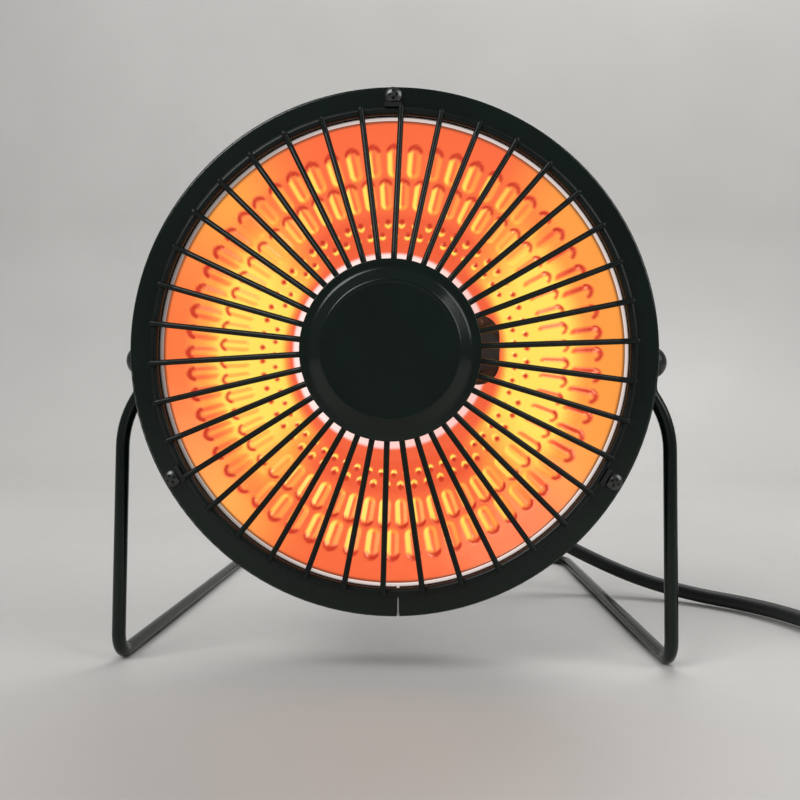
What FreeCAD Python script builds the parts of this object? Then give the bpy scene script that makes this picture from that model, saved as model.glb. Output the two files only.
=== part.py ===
import FreeCAD, Part
import math
import os
import re

import Sketcher
from FreeCAD import Placement, Rotation, Vector

# Driving sizes of the heater, in millimetres, degrees where a name ends in angle, and counts.
SIZES = {
    # Rim, casing and tilt axis
    "rim_radius": 92.5,
    "rim_depth": 11.0,
    "rim_sheet": 1.0,
    "rim_corner": 1.0,
    "seam_gap": 0.9,
    "seam_offset": 2.4,
    "face_forward": 20.0,
    "pivot_height": 112.0,
    "axis_rise": 2.5,
    "casing_clear": 0.1,
    "casing_sheet": 0.8,
    "casing_back": 32.0,
    "casing_corner": 18.0,
    "flange_width": 8.0,
    "vent_count": 30,
    "vent_width": 2.4,
    "vent_length": 11.0,
    "vent_inset": 31.0,
    # Fasteners of the rim
    "screw_margin": 0.9,
    "screw_count": 3,
    "screw_head": 5.6,
    "screw_head_height": 2.0,
    "screw_shank": 3.0,
    "screw_length": 8.0,
    "screw_clear": 0.1,
    "slot_width": 0.8,
    "clip_sheet": 0.8,
    "clip_width": 6.0,
    "seat_gap": 0.05,
    "head_clear": 0.2,
    # Guard and its cap
    "ring_wire": 3.0,
    "opening_lip": 0.1,
    "guard_wire": 2.0,
    "wire_count": 38,
    "wire_angle": 1.9,
    "wire_overhang": 0.4,
    "guard_rise": 13.0,
    "hub_ring_radius": 25.5,
    "hub_ring_wire": 2.4,
    "cap_radius": 30.0,
    "cap_brim": 3.5,
    "cap_step": 4.0,
    "cap_rise": 4.0,
    "cap_sheet": 0.8,
    # Reflector
    "dish_show": 1.5,
    "dish_grip": 3.5,
    "dish_depth": 21.0,
    "dish_floor_radius": 40.0,
    "dish_bulge": 3.0,
    "dish_sheet": 0.5,
    # Heating element and what carries it
    "element_forward": 14.0,
    "core_diameter": 8.0,
    "core_length": 52.0,
    "core_grip": 4.0,
    "coil_wire": 1.2,
    "coil_clear": 0.3,
    "coil_turns": 14,
    "coil_bend": 1.8,
    "holder_width": 14.0,
    "holder_height": 7.5,
    "strap_width": 10.0,
    "strap_sheet": 1.0,
    "strap_hole": 12.0,
    "nut_flats": 5.5,
    "nut_height": 2.4,
    # Thermal cut-out
    "cutout_x": 31.0,
    "cutout_z": 2.0,
    "cutout_diameter": 15.4,
    "cutout_front": 5.0,
    "cutout_neck": 11.0,
    "cutout_back": 8.0,
    "cutout_flange_length": 26.0,
    "cutout_flange_width": 16.0,
    "cutout_flange_sheet": 1.0,
    "rivet_shank": 2.4,
    "rivet_head": 4.0,
    "rivet_head_height": 1.2,
    "rivet_reach": 9.8,
    "tag_width": 4.8,
    "tag_sheet": 0.8,
    "tag_length": 7.0,
    "tag_pitch": 7.0,
    # Wiring
    "lead_diameter": 1.6,
    "lead_bend": 3.0,
    "lead_offset": 6.0,
    "block_width": 12.0,
    "block_depth": 12.0,
    "block_height": 12.0,
    "block_z": -10.0,
    "core_pitch": 2.4,
    # Switch
    "switch_x": -25.0,
    "switch_z": -30.0,
    "switch_width": 15.0,
    "switch_height": 21.4,
    "switch_lip": 2.0,
    "switch_inner_depth": 12.0,
    "switch_wall": 1.2,
    "switch_clear": 0.2,
    "rocker_clear": 0.3,
    "rocker_height": 16.0,
    "rocker_crest": 2.0,
    "rocker_valley": 0.4,
    "rocker_sink": 4.0,
    "rocker_angle": 8.0,
    "trunnion_diameter": 2.4,
    "trunnion_length": 1.0,
    # Cord gland
    "gland_x": 27.0,
    "gland_z": -35.0,
    "gland_neck": 10.4,
    "gland_flange": 15.0,
    "gland_flange_height": 2.5,
    "gland_collar": 2.2,
    "sleeve_length": 25.5,
    "sleeve_root": 11.0,
    "sleeve_tip": 8.6,
    # Tilt pivots and stand
    "pivot_diameter": 5.0,
    "pivot_clear": 0.05,
    "washer_diameter": 12.0,
    "washer_height": 1.5,
    "dome_diameter": 11.8,
    "dome_height": 4.35,
    "pivot_nut_flats": 8.0,
    "pivot_nut_height": 4.0,
    "eye_diameter": 12.5,
    "eye_thickness": 2.8,
    "eye_neck": 2.0,
    "eye_clear": 0.3,
    "stand_wire": 5.0,
    "stand_depth": 190.0,
    "leg_offset": 7.3,
    "jog_length": 12.0,
    "jog_bend": 6.0,
    "jog_sweep": 34.0,
    "foot_forward": 5.0,
    "foot_bend": 8.0,
    "toe_in": 7.8,
    "rear_bend": 12.0,
    # Cord, coil, tie and plug
    "cord_diameter": 6.8,
    "coil_outer": 42.0,
    "coil_pitch": 7.4,
    "coil_layer_turns": 2,
    "coil_lift": 1.0,
    "tie_width": 6.0,
    "tie_sheet": 0.8,
    "tie_clear": 0.6,
    "tail_length": 40.0,
    "relief_length": 22.0,
    "relief_root": 11.0,
    "relief_tip": 8.6,
    "plug_length": 34.0,
    "plug_width": 30.0,
    "plug_thickness": 14.0,
    "plug_round": 4.0,
    "pin_diameter": 4.0,
    "pin_length": 19.0,
    "pin_spacing": 19.0,
}

# Sizes that follow from the driving ones. The head's own frame has its origin where the dish's
# centre line crosses the plane of the tilt axis, with Y to the back; y names count from there.
DERIVED = {
    "head_y": "(cap_front_reach - stand_depth - stand_wire / 2) / 2",
    "head_z": "pivot_height + axis_rise",
    "cap_front_reach": "-cap_front_y",
    "face_y": "-face_forward",
    "screw_circle": "rim_radius - screw_margin - screw_head / 2",
    "riser_radius": "screw_circle - screw_head / 2 - head_clear - clip_sheet",
    "ring_radius": "riser_radius - 2 * seat_gap - ring_wire / 2",
    "rim_opening": "ring_radius - ring_wire / 2 - opening_lip",
    "ring_y": "face_y - seat_gap - ring_wire / 2",
    "wire_seat_y": "ring_y - ring_wire / 2 - seat_gap - guard_wire / 2",
    "wire_hub_y": "wire_seat_y - guard_rise",
    "hub_ring_y": "wire_hub_y + guard_wire / 2 + seat_gap + hub_ring_wire / 2",
    "cap_back_y": "wire_hub_y - guard_wire / 2 - seat_gap",
    "cap_top_radius": "cap_radius - cap_brim - cap_step",
    "cap_front_y": "cap_back_y - cap_sheet - cap_rise",
    "casing_radius": "rim_radius - rim_sheet - casing_clear",
    "dish_y": "face_y + rim_sheet",
    "dish_lip_radius": "rim_opening - dish_show",
    "dish_outer_radius": "rim_opening + dish_grip",
    "floor_y": "dish_y + dish_depth",
    "flange_y": "dish_y + dish_sheet",
    "back_inner_y": "casing_back - casing_sheet",
    "element_y": "-element_forward",
    "holder_z": "core_length / 2 - core_grip",
    "strap_z": "holder_z + holder_height + strap_sheet",
    "strap_front_y": "element_y - holder_width / 2",
    "cutout_flange_y": "floor_y - cutout_flange_sheet",
    "block_x": "gland_x + core_pitch / 2",
    "block_y": "back_inner_y - block_depth / 2",
    "gland_inner_y": "back_inner_y - gland_collar",
    "gland_end_y": "casing_back + gland_flange_height + sleeve_length",
    "switch_lip_y": "casing_back + switch_lip",
    "rocker_y": "switch_lip_y - rocker_sink",
    "well_height": "rocker_height + rocker_crest + 2 * rocker_clear",
    "tag_y": "casing_back - switch_inner_depth - tag_length / 2",
    "washer_x": "casing_radius + seat_gap",
    "eye_x": "washer_x + washer_height + seat_gap",
    "dome_x": "eye_x + eye_thickness + seat_gap",
    "leg_x": "eye_x + eye_thickness / 2 + leg_offset",
    "coil_layer": "coil_pitch",
}

doc = FreeCAD.newDocument("dish_heater")
sheet = doc.addObject("Spreadsheet::Sheet", "sizes")
for row, (size_name, size_value) in enumerate(SIZES.items(), start=1):
    sheet.set(f"A{row}", size_name)
    sheet.set(f"B{row}", str(size_value))
    sheet.setAlias(f"B{row}", size_name)
doc.recompute()


def expand(text):
    """An expression with each derived size written out and each driving size read from the sheet."""

    def swap(match):
        word = match.group(0)
        if word in DERIVED:
            return "(" + expand(DERIVED[word]) + ")"
        return "sizes." + word if word in SIZES else word

    return re.sub(r"[a-z][a-z_0-9]*", swap, text)


def val(text):
    """The value of an expression over the sheet."""
    return float(sheet.evalExpression(expand(text)))


def vec(x, y, z):
    """A point or a size from three expressions."""
    return Vector(val(x), val(y), val(z))


def bind(obj, **properties):
    """Ties properties of an object to expressions over the sheet."""
    for name, text in properties.items():
        obj.setExpression(name.replace("_of_", "."), expand(text))
    return obj


def place(obj, x="0", y="0", z="0", turn=None):
    """Ties an object's place to three expressions."""
    if turn:
        obj.Placement.Rotation = turn
    return bind(obj, Placement_of_Base_of_x=x, Placement_of_Base_of_y=y, Placement_of_Base_of_z=z)


def on_head(obj, x="0", y="0", z="0", turn=None):
    """Ties an object's place to a point in the head's frame."""
    return place(obj, x, f"head_y + {y}", f"head_z + {z}", turn)


def at_pivot(obj):
    """Ties an object's place to the middle of the tilt axis."""
    return place(obj, "0", "head_y", "pivot_height")


# Document objects

TO_BACK = Rotation(Vector(1, 0, 0), -90)
TO_RIGHT = Rotation(Vector(0, 1, 0), 90)


def new_body(label):
    body = doc.addObject("PartDesign::Body", label)
    body.Label = label
    return body


def new_sketch(body, plane, name):
    planes = {feature.Role: feature for feature in body.Origin.OriginFeatures}
    sketch = body.newObject("Sketcher::SketchObject", name)
    sketch.AttachmentSupport = [(planes[plane], "")]
    sketch.MapMode = "FlatFace"
    return sketch


def constrain(sketch, kind, name, text, *places):
    """A dimension of a sketch, tied to an expression."""
    number = sketch.addConstraint(Sketcher.Constraint(kind, *places, val(text)))
    sketch.renameConstraint(number, name)
    sketch.setExpression(f"Constraints.{name}", expand(text))


def arc_middle(start, end, radius, side):
    """The middle of an arc between two points; side 1 bulges to the right of the way along."""
    chord = end - start
    sagitta = radius - math.sqrt(radius**2 - chord.Length**2 / 4)
    right = Vector(chord.y, -chord.x, 0).normalize()
    return (start + end) * 0.5 + right * (sagitta * side)


def outline(body, plane, points, name):
    """A closed outline whose corners are pairs of expressions. A corner that also has a radius and
    a side starts an arc of that radius to the next corner."""
    sketch = new_sketch(body, plane, name)
    corners = [Vector(val(point[0]), val(point[1]), 0) for point in points]
    count = len(points)
    for i, point in enumerate(points):
        start, end = corners[i], corners[(i + 1) % count]
        if len(point) == 4:
            middle = arc_middle(start, end, val(point[2]), point[3])
            ends = (start, end) if point[3] > 0 else (end, start)
            sketch.addGeometry(Part.Arc(ends[0], middle, ends[1]), False)
        else:
            sketch.addGeometry(Part.LineSegment(start, end), False)

    def end_at(i, corner):
        first, last = sketch.getPoint(i, 1), sketch.getPoint(i, 2)
        return 1 if first.distanceToPoint(corner) < last.distanceToPoint(corner) else 2

    for i, point in enumerate(points):
        before = (i - 1) % count
        here = corners[i]
        ends = (before, end_at(before, here), i, end_at(i, here))
        sketch.addConstraint(Sketcher.Constraint("Coincident", *ends))
        constrain(sketch, "DistanceX", f"x{i}", point[0], -1, 1, i, end_at(i, here))
        constrain(sketch, "DistanceY", f"y{i}", point[1], -1, 1, i, end_at(i, here))
        if len(point) == 4:
            constrain(sketch, "Radius", f"r{i}", point[2], i)
    return sketch


def circles(body, plane, places, name):
    """A sketch of circles, each given by expressions for its centre and radius."""
    sketch = new_sketch(body, plane, name)
    for i, (x, y, radius) in enumerate(places):
        centre = Vector(val(x), val(y), 0)
        sketch.addGeometry(Part.Circle(centre, Vector(0, 0, 1), val(radius)), False)
        constrain(sketch, "DistanceX", f"x{i}", x, -1, 1, i, 3)
        constrain(sketch, "DistanceY", f"y{i}", y, -1, 1, i, 3)
        constrain(sketch, "Radius", f"r{i}", radius, i)
    return sketch


def revolve(body, sketch, axis="V_Axis"):
    feature = body.newObject("PartDesign::Revolution", "turned")
    feature.Profile = sketch
    feature.ReferenceAxis = (sketch, [axis])
    feature.Angle = 360
    return feature


def turned(body, points, name):
    """A piece turned about the head's centre line from an outline of radii and y places. The outline
    hangs straight down from the centre line, so that the turning's seam is at the bottom."""
    hanging = [(point[1], f"-({point[0]})", *point[2:]) for point in points]
    return revolve(body, outline(body, "YZ_Plane", hanging, name), "H_Axis")


def pad(body, sketch, length):
    feature = body.newObject("PartDesign::Pad", "padded")
    feature.Profile = sketch
    feature.SideType = "Symmetric"
    return bind(feature, Length=length)


def cut_through(body, sketch, way):
    """A cut through everything: forward along the sketch's normal, backward against it, or both."""
    feature = body.newObject("PartDesign::Pocket", "cut")
    feature.Profile = sketch
    feature.Type = "ThroughAll"
    if way == "both":
        feature.SideType = "Symmetric"
    feature.Reversed = way == "forward"
    return feature


def repeat_round(body, feature, sketch, count):
    """Copies of a cut, evenly round the sketch's own normal."""
    pattern = body.newObject("PartDesign::PolarPattern", "round")
    pattern.Originals = [feature]
    pattern.Axis = (sketch, ["N_Axis"])
    pattern.Angle = 360
    bind(pattern, Occurrences=count)
    body.Tip = pattern
    return pattern


def box(name, x, y, z, width, depth, height):
    """A block in the head's frame from its lowest corner and its sizes along X, Y and Z."""
    solid = doc.addObject("Part::Box", name)
    bind(solid, Length=width, Width=depth, Height=height)
    return on_head(solid, x, y, z)


def rod(name, radius, height, x, y, z, turn=None):
    """A cylinder in the head's frame."""
    solid = doc.addObject("Part::Cylinder", name)
    bind(solid, Radius=radius, Height=height)
    return on_head(solid, x, y, z, turn)


def cut(label, base, tool):
    solid = doc.addObject("Part::Cut", label)
    solid.Base = base
    solid.Tool = tool
    solid.Label = label
    return solid


def fuse(label, shapes):
    solid = doc.addObject("Part::MultiFuse", label)
    solid.Shapes = shapes
    solid.Label = label
    return solid


def shaped(label, shape, base=Vector(), turn=Rotation()):
    """A piece whose shape is worked out here from the sheet's sizes."""
    solid = doc.addObject("Part::Feature", label)
    solid.Label = label
    solid.Shape = shape
    solid.Placement = Placement(base, turn) * shape.Placement
    return solid


def head_base():
    return vec("0", "head_y", "head_z")


# Tubes along paths


def rounded_path(points, radii):
    """Straight runs between the points, joined by tangent arcs of the given radii."""
    edges = []
    start = points[0]
    for before, corner, after, radius in zip(points, points[1:], points[2:], radii):
        back = (before - corner).normalize()
        onward = (after - corner).normalize()
        half = (math.pi - back.getAngle(onward)) / 2
        reach = radius * math.tan(half)
        first = corner + back * reach
        last = corner + onward * reach
        middle = corner + (back + onward).normalize() * (radius / math.cos(half) - radius)
        edges.append(Part.LineSegment(start, first).toShape())
        edges.append(Part.Arc(first, middle, last).toShape())
        start = last
    edges.append(Part.LineSegment(start, points[-1]).toShape())
    return Part.Wire(edges)


def tangent_arc(start, way, end):
    """The arc from start to end that leaves along the unit vector way."""
    chord = end - start
    along = Vector(chord).normalize()
    aside = way - along * way.dot(along)
    rise = chord.Length / 2 * math.tan(way.getAngle(chord) / 2)
    middle = start + chord * 0.5 + aside.normalize() * rise
    return Part.Arc(start, middle, end).toShape()


def biarc(start, start_way, end, end_way):
    """Two tangent arcs between two points with given unit directions."""
    chord = end - start
    spread = 2 * (1 - start_way.dot(end_way))
    along = chord.dot(start_way + end_way)
    reach = (math.sqrt(along**2 + spread * chord.dot(chord)) - along) / spread
    first = start + start_way * reach
    second = end - end_way * reach
    joint = (first + second) * 0.5
    way = (second - first).normalize()
    return [tangent_arc(start, start_way, joint), tangent_arc(joint, way, end)]


def tube(path, diameter):
    """A round tube along a path."""
    edge = path.Edges[0]
    start = edge.valueAt(edge.FirstParameter)
    way = edge.tangentAt(edge.FirstParameter)
    section = Part.Wire(Part.makeCircle(diameter / 2, start, way))
    return path.makePipeShell([section], True, False)


def least_gap(path, diameter):
    """The least clear space between turns of a tube, measured on points along its path."""
    spacing = diameter / 2
    points = path.discretize(Number=int(path.Length / spacing))
    apart = int(3 * diameter / spacing)
    nearest = min(
        a.distanceToPoint(b) for i, a in enumerate(points) for b in points[i + apart :]
    )
    return nearest - diameter


def report_tube(label, path, solid, diameter):
    section = math.pi * diameter**2 / 4
    print(f"{label}: length {path.Length:.1f}, volume over section times length"
          f" {solid.Volume / (section * path.Length):.4f}")


# Front hoop: a rolled L-section strip with a butt seam at the bottom and three screw holes
front_hoop = new_body("front_hoop")
turned(front_hoop, [
    ("rim_opening", "face_y"),
    ("rim_radius - rim_corner", "face_y", "rim_corner", 1),
    ("rim_radius", "face_y + rim_corner"),
    ("rim_radius", "face_y + rim_depth"),
    ("rim_radius - rim_sheet", "face_y + rim_depth"),
    ("rim_radius - rim_sheet", "face_y + rim_sheet"),
    ("rim_opening", "face_y + rim_sheet"),
], "hoop_outline")
seam = outline(front_hoop, "XZ_Plane", [
    ("seam_offset - seam_gap / 2", "-rim_radius - rim_sheet"),
    ("seam_offset + seam_gap / 2", "-rim_radius - rim_sheet"),
    ("seam_offset + seam_gap / 2", "-rim_opening + rim_sheet"),
    ("seam_offset - seam_gap / 2", "-rim_opening + rim_sheet"),
], "seam")
cut_through(front_hoop, seam, "both")
screw_hole = [("0", "screw_circle", "screw_shank / 2 + screw_clear")]
hoop_hole = circles(front_hoop, "XZ_Plane", screw_hole, "hole")
hoop_hole_cut = cut_through(front_hoop, hoop_hole, "both")
repeat_round(front_hoop, hoop_hole_cut, hoop_hole, "screw_count")
on_head(front_hoop)

# Rear casing: a drawn drum with a front flange, vents and openings in its back
rear_casing = new_body("rear_casing")
turned(rear_casing, [
    ("casing_radius - flange_width", "flange_y"),
    ("casing_radius", "flange_y"),
    ("casing_radius", "casing_back - casing_corner", "casing_corner", 1),
    ("casing_radius - casing_corner", "casing_back"),
    ("0", "casing_back"),
    ("0", "back_inner_y"),
    ("casing_radius - casing_corner", "back_inner_y", "casing_corner - casing_sheet", -1),
    ("casing_radius - casing_sheet", "casing_back - casing_corner"),
    ("casing_radius - casing_sheet", "flange_y + casing_sheet"),
    ("casing_radius - flange_width", "flange_y + casing_sheet"),
], "casing_outline")
flange_hole = circles(rear_casing, "XZ_Plane", screw_hole, "flange_hole")
flange_hole_cut = cut_through(rear_casing, flange_hole, "forward")
repeat_round(rear_casing, flange_hole_cut, flange_hole, "screw_count")
vent_middle = "(casing_radius - vent_inset)"
vent = outline(rear_casing, "XZ_Plane", [
    ("-vent_width / 2", f"{vent_middle} - vent_length / 2"),
    ("vent_width / 2", f"{vent_middle} - vent_length / 2"),
    ("vent_width / 2", f"{vent_middle} + vent_length / 2", "vent_width / 1.9", 1),
    ("-vent_width / 2", f"{vent_middle} + vent_length / 2"),
], "vent")
vent_cut = cut_through(rear_casing, vent, "backward")
repeat_round(rear_casing, vent_cut, vent, "vent_count")
back_holes = circles(rear_casing, "XZ_Plane", [
    ("gland_x", "gland_z", "gland_neck / 2 + screw_clear"),
    ("block_x", "block_z", "screw_shank / 2 + screw_clear"),
], "back_holes")
cut_through(rear_casing, back_holes, "backward")
half_wide = "(switch_width / 2 - switch_wall + switch_clear)"
half_high = "(switch_height / 2 - switch_wall + switch_clear)"
switch_hole = outline(rear_casing, "XZ_Plane", [
    (f"switch_x - {half_wide}", f"switch_z - {half_high}"),
    (f"switch_x + {half_wide}", f"switch_z - {half_high}"),
    (f"switch_x + {half_wide}", f"switch_z + {half_high}"),
    (f"switch_x - {half_wide}", f"switch_z + {half_high}"),
], "switch_hole")
cut_through(rear_casing, switch_hole, "backward")
pivot_hole = [("0", "-axis_rise", "pivot_diameter / 2 + screw_clear")]
pivot_holes = circles(rear_casing, "YZ_Plane", pivot_hole, "pivot_holes")
cut_through(rear_casing, pivot_holes, "both")
on_head(rear_casing)

# Reflector: a pressed dish with a flat floor and a flange that the rim clamps
dish_chord = "((dish_lip_radius - dish_floor_radius)^2 + dish_depth^2)"
dish_arc = f"({dish_chord} / (8 * dish_bulge) + dish_bulge / 2)"
reflector_dish = new_body("reflector_dish")
turned(reflector_dish, [
    ("0", "floor_y"),
    ("dish_floor_radius", "floor_y", dish_arc, -1),
    ("dish_lip_radius", "dish_y"),
    ("dish_outer_radius", "dish_y"),
    ("dish_outer_radius", "flange_y"),
    ("dish_lip_radius + dish_sheet", "flange_y", dish_arc, 1),
    ("dish_floor_radius + dish_sheet", "floor_y + dish_sheet"),
    ("0", "floor_y + dish_sheet"),
], "dish_outline")
lead_z = "(holder_z + holder_height / 2)"
dish_holes = circles(reflector_dish, "XZ_Plane", [
    ("0", "strap_hole", "screw_shank / 2 + screw_clear"),
    ("0", "-strap_hole", "screw_shank / 2 + screw_clear"),
    ("lead_offset", lead_z, "lead_diameter"),
    ("lead_offset", f"-{lead_z}", "lead_diameter"),
    ("cutout_x", "cutout_z", "cutout_neck / 2 + screw_clear"),
    ("cutout_x", "cutout_z + rivet_reach", "rivet_shank / 2 + screw_clear"),
    ("cutout_x", "cutout_z - rivet_reach", "rivet_shank / 2 + screw_clear"),
], "dish_holes")
cut_through(reflector_dish, dish_holes, "both")
on_head(reflector_dish)

# Guard rings: the outer one lies on the rim's face, the inner one behind the cap
for label, radius, wire, y in (
    ("guard_ring_outer", "ring_radius", "ring_wire", "ring_y"),
    ("guard_ring_inner", "hub_ring_radius", "hub_ring_wire", "hub_ring_y"),
):
    ring = doc.addObject("Part::Torus", label)
    ring.Label = label
    bind(ring, Radius1=radius, Radius2=f"{wire} / 2")
    on_head(ring, y=y, turn=TO_BACK)

# Guard wires: straight spokes, set flat where they are welded to the two rings
HUB_FLAT = 2.0
SEAT_FLAT = 5.0
SPOKE_BEND = 8.0


def spoke():
    hub_y = val("wire_hub_y")
    seat_y = val("wire_seat_y")
    ring_radius = val("ring_radius")
    points = [
        Vector(val("hub_ring_radius - hub_ring_wire / 2 - wire_overhang"), hub_y, 0),
        Vector(val("cap_radius") + HUB_FLAT, hub_y, 0),
        Vector(ring_radius - SEAT_FLAT, seat_y, 0),
        Vector(ring_radius + val("wire_overhang"), seat_y, 0),
    ]
    return tube(rounded_path(points, [SPOKE_BEND, SPOKE_BEND]), val("guard_wire"))


def round_copies(solid, count, first_angle):
    """Copies of a solid evenly round the head's centre line; angles count clockwise from the top."""
    copies = []
    for i in range(count):
        copy = solid.copy()
        copy.rotate(Vector(), Vector(0, 1, 0), first_angle - 90 + 360 * i / count)
        copies.append(copy)
    return Part.makeCompound(copies)


shaped("guard_wires", round_copies(spoke(), int(val("wire_count")), val("wire_angle")), head_base())

# Centre cap: a pressed disc with a raised middle, welded on the front of the wires
centre_cap = new_body("centre_cap")
turned(centre_cap, [
    ("0", "cap_front_y"),
    ("cap_top_radius", "cap_front_y"),
    ("cap_top_radius + cap_step", "cap_back_y - cap_sheet"),
    ("cap_radius", "cap_back_y - cap_sheet"),
    ("cap_radius", "cap_back_y"),
    ("cap_top_radius + cap_step - cap_sheet / 2", "cap_back_y"),
    ("cap_top_radius - cap_sheet / 2", "cap_front_y + cap_sheet"),
    ("0", "cap_front_y + cap_sheet"),
], "cap_outline")
on_head(centre_cap)


def screw(head, head_height, shank, length, crossed=True):
    """A pan-head screw along +Y, with the underside of its head at the origin."""
    crown = head_height * 0.45
    half = head / 2
    side = Vector(half, -head_height + crown, 0)
    top = Vector(0, -head_height, 0)
    swell = Vector(half * 0.62, -head_height + crown * 0.26, 0)
    edges = [
        Part.Arc(top, swell, side).toShape(),
        Part.makePolygon([side, Vector(half, 0, 0), Vector(shank / 2, 0, 0), Vector(shank / 2, length, 0),
                          Vector(0, length, 0), top]),
    ]
    wire = Part.Wire([edge for item in edges for edge in item.Edges])
    solid = Part.Face(wire).revolve(Vector(), Vector(0, 1, 0), 360)
    if not crossed:
        return solid
    width = val("slot_width")
    reach = head * 0.62
    depth = head_height * 0.55
    for size in (Vector(reach, depth, width), Vector(width, depth, reach)):
        slot = Part.makeBox(size.x, size.y, size.z, Vector(-size.x / 2, -head_height, -size.z / 2))
        solid = solid.cut(slot)
    return solid


# Hoop screws and guard clips, three of each, at the top and 120 degrees to either side
def hoop_screw():
    solid = screw(val("screw_head"), val("screw_head_height"), val("screw_shank"), val("screw_length"))
    solid.translate(vec("screw_circle", "face_y - clip_sheet", "0"))
    return solid


def guard_clip():
    sheet_t = val("clip_sheet")
    face = val("face_y")
    riser = val("riser_radius")
    foot_end = val("screw_circle + screw_head / 2 - clip_sheet")
    tip = val("ring_radius + 0.3 * ring_wire")
    tip_y = val("ring_y - 0.42 * ring_wire")
    width = val("clip_width")
    corners = [
        (riser, face), (foot_end, face), (foot_end, face - sheet_t), (riser + sheet_t, face - sheet_t),
        (riser + sheet_t, tip_y - sheet_t), (tip, tip_y - sheet_t), (tip, tip_y), (riser, tip_y),
    ]
    points = [Vector(r, y, -width / 2) for r, y in corners]
    solid = Part.Face(Part.makePolygon(points + points[:1])).extrude(Vector(0, 0, width))
    bore = Part.makeCylinder(val("screw_shank / 2 + screw_clear"), 4 * sheet_t,
                             vec("screw_circle", "face_y - 2 * clip_sheet", "0"), Vector(0, 1, 0))
    return solid.cut(bore)


shaped("hoop_screws", round_copies(hoop_screw(), int(val("screw_count")), 0), head_base())
shaped("guard_clips", round_copies(guard_clip(), int(val("screw_count")), 0), head_base())

# Heating core: an upright ceramic rod held by a ceramic block at each end
heating_core = rod("heating_core", "core_diameter / 2", "core_length", "0", "element_y", "-core_length / 2")
heating_core.Label = "heating_core"
for label, low, pocket in (
    ("core_holder_top", "holder_z", "holder_z"),
    ("core_holder_bottom", "-holder_z - holder_height", "-holder_z - core_grip"),
):
    block = box(label + "_block", "-holder_width / 2", "element_y - holder_width / 2", low,
                "holder_width", "holder_width", "holder_height")
    socket = rod(label + "_socket", "core_diameter / 2 + seat_gap", "core_grip", "0", "element_y", pocket)
    cut(label, block, socket)


# Heating coil: one wire wound on the core, its ends bent into the blocks
def heating_coil():
    wire = val("coil_wire")
    radius = val("core_diameter / 2 + coil_clear + coil_wire / 2")
    turns = int(val("coil_turns"))
    bend = val("coil_bend")
    face = val("holder_z")
    half_height = face - bend - 1.5 * wire
    climb = half_height * 2 / (turns * 2 * math.pi)
    y = val("element_y")

    def point(angle):
        return Vector(radius * math.cos(angle), y + radius * math.sin(angle), angle * climb - half_height)

    def way(angle):
        return Vector(-radius * math.sin(angle), radius * math.cos(angle), climb).normalize()

    edges = []
    for i in range(2 * turns):
        first, last = i * math.pi, (i + 1) * math.pi
        edges += biarc(point(first), way(first), point(last), way(last))

    def end(angle, side):
        """The bend and the straight end from the coil's last turn to a block."""
        start = point(angle)
        out = way(angle) * side
        up = Vector(0, 0, side)
        reach = bend * math.tan(out.getAngle(up) / 2)
        corner = start + out * reach
        finish = Vector(corner.x, corner.y, face * side)
        path = rounded_path([start, corner, finish], [bend])
        return [edge for edge in path.Edges if edge.Length > 1e-4]

    bottom = [edge.copy() for edge in end(0, -1)]
    path = Part.Wire(Part.__sortEdges__(bottom + edges + end(2 * math.pi * turns, 1)))
    solid = tube(path, wire)
    report_tube("heating_coil", path, solid, wire)
    print(f"heating_coil: least gap {least_gap(path, wire):.2f}")
    return solid


shaped("heating_coil", heating_coil(), head_base())

# Core bracket: a bent strap on the dish's floor whose arms close over the two blocks
core_bracket = new_body("core_bracket")
bracket_outline = outline(core_bracket, "YZ_Plane", [
    ("floor_y", "-strap_z"),
    ("floor_y", "strap_z"),
    ("strap_front_y", "strap_z"),
    ("strap_front_y", "strap_z - strap_sheet"),
    ("floor_y - strap_sheet", "strap_z - strap_sheet"),
    ("floor_y - strap_sheet", "-strap_z + strap_sheet"),
    ("strap_front_y", "-strap_z + strap_sheet"),
    ("strap_front_y", "-strap_z"),
], "bracket_outline")
pad(core_bracket, bracket_outline, "strap_width")
bracket_holes = circles(core_bracket, "XZ_Plane", [
    ("0", "strap_hole", "screw_shank / 2 + screw_clear"),
    ("0", "-strap_hole", "screw_shank / 2 + screw_clear"),
], "bracket_holes")
cut_through(core_bracket, bracket_holes, "both")
on_head(core_bracket)


def hexagon_nut(flats, height, bore):
    """A nut along +Y with one face at the origin."""
    corners = [Vector(math.cos(i * math.pi / 3), 0, math.sin(i * math.pi / 3)) for i in range(6)]
    points = [corner * (flats / math.sqrt(3)) for corner in corners]
    solid = Part.Face(Part.makePolygon(points + points[:1])).extrude(Vector(0, height, 0))
    return solid.cut(Part.makeCylinder(bore / 2, height, Vector(), Vector(0, 1, 0)))


# Bracket screws and nuts: two of each, through the strap and the dish's floor
bracket_screws = []
bracket_nuts = []
for side in (1, -1):
    bolt = screw(val("screw_head"), val("screw_head_height"), val("screw_shank"),
                 val("strap_sheet + dish_sheet + nut_height + screw_shank / 2"))
    bolt.translate(vec("0", "floor_y - strap_sheet", f"{side} * strap_hole"))
    bracket_screws.append(bolt)
    nut = hexagon_nut(val("nut_flats"), val("nut_height"), val("screw_shank + 2 * seat_gap"))
    nut.translate(vec("0", "floor_y + dish_sheet", f"{side} * strap_hole"))
    bracket_nuts.append(nut)
shaped("bracket_screws", Part.makeCompound(bracket_screws), head_base())
shaped("bracket_nuts", Part.makeCompound(bracket_nuts), head_base())

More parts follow.
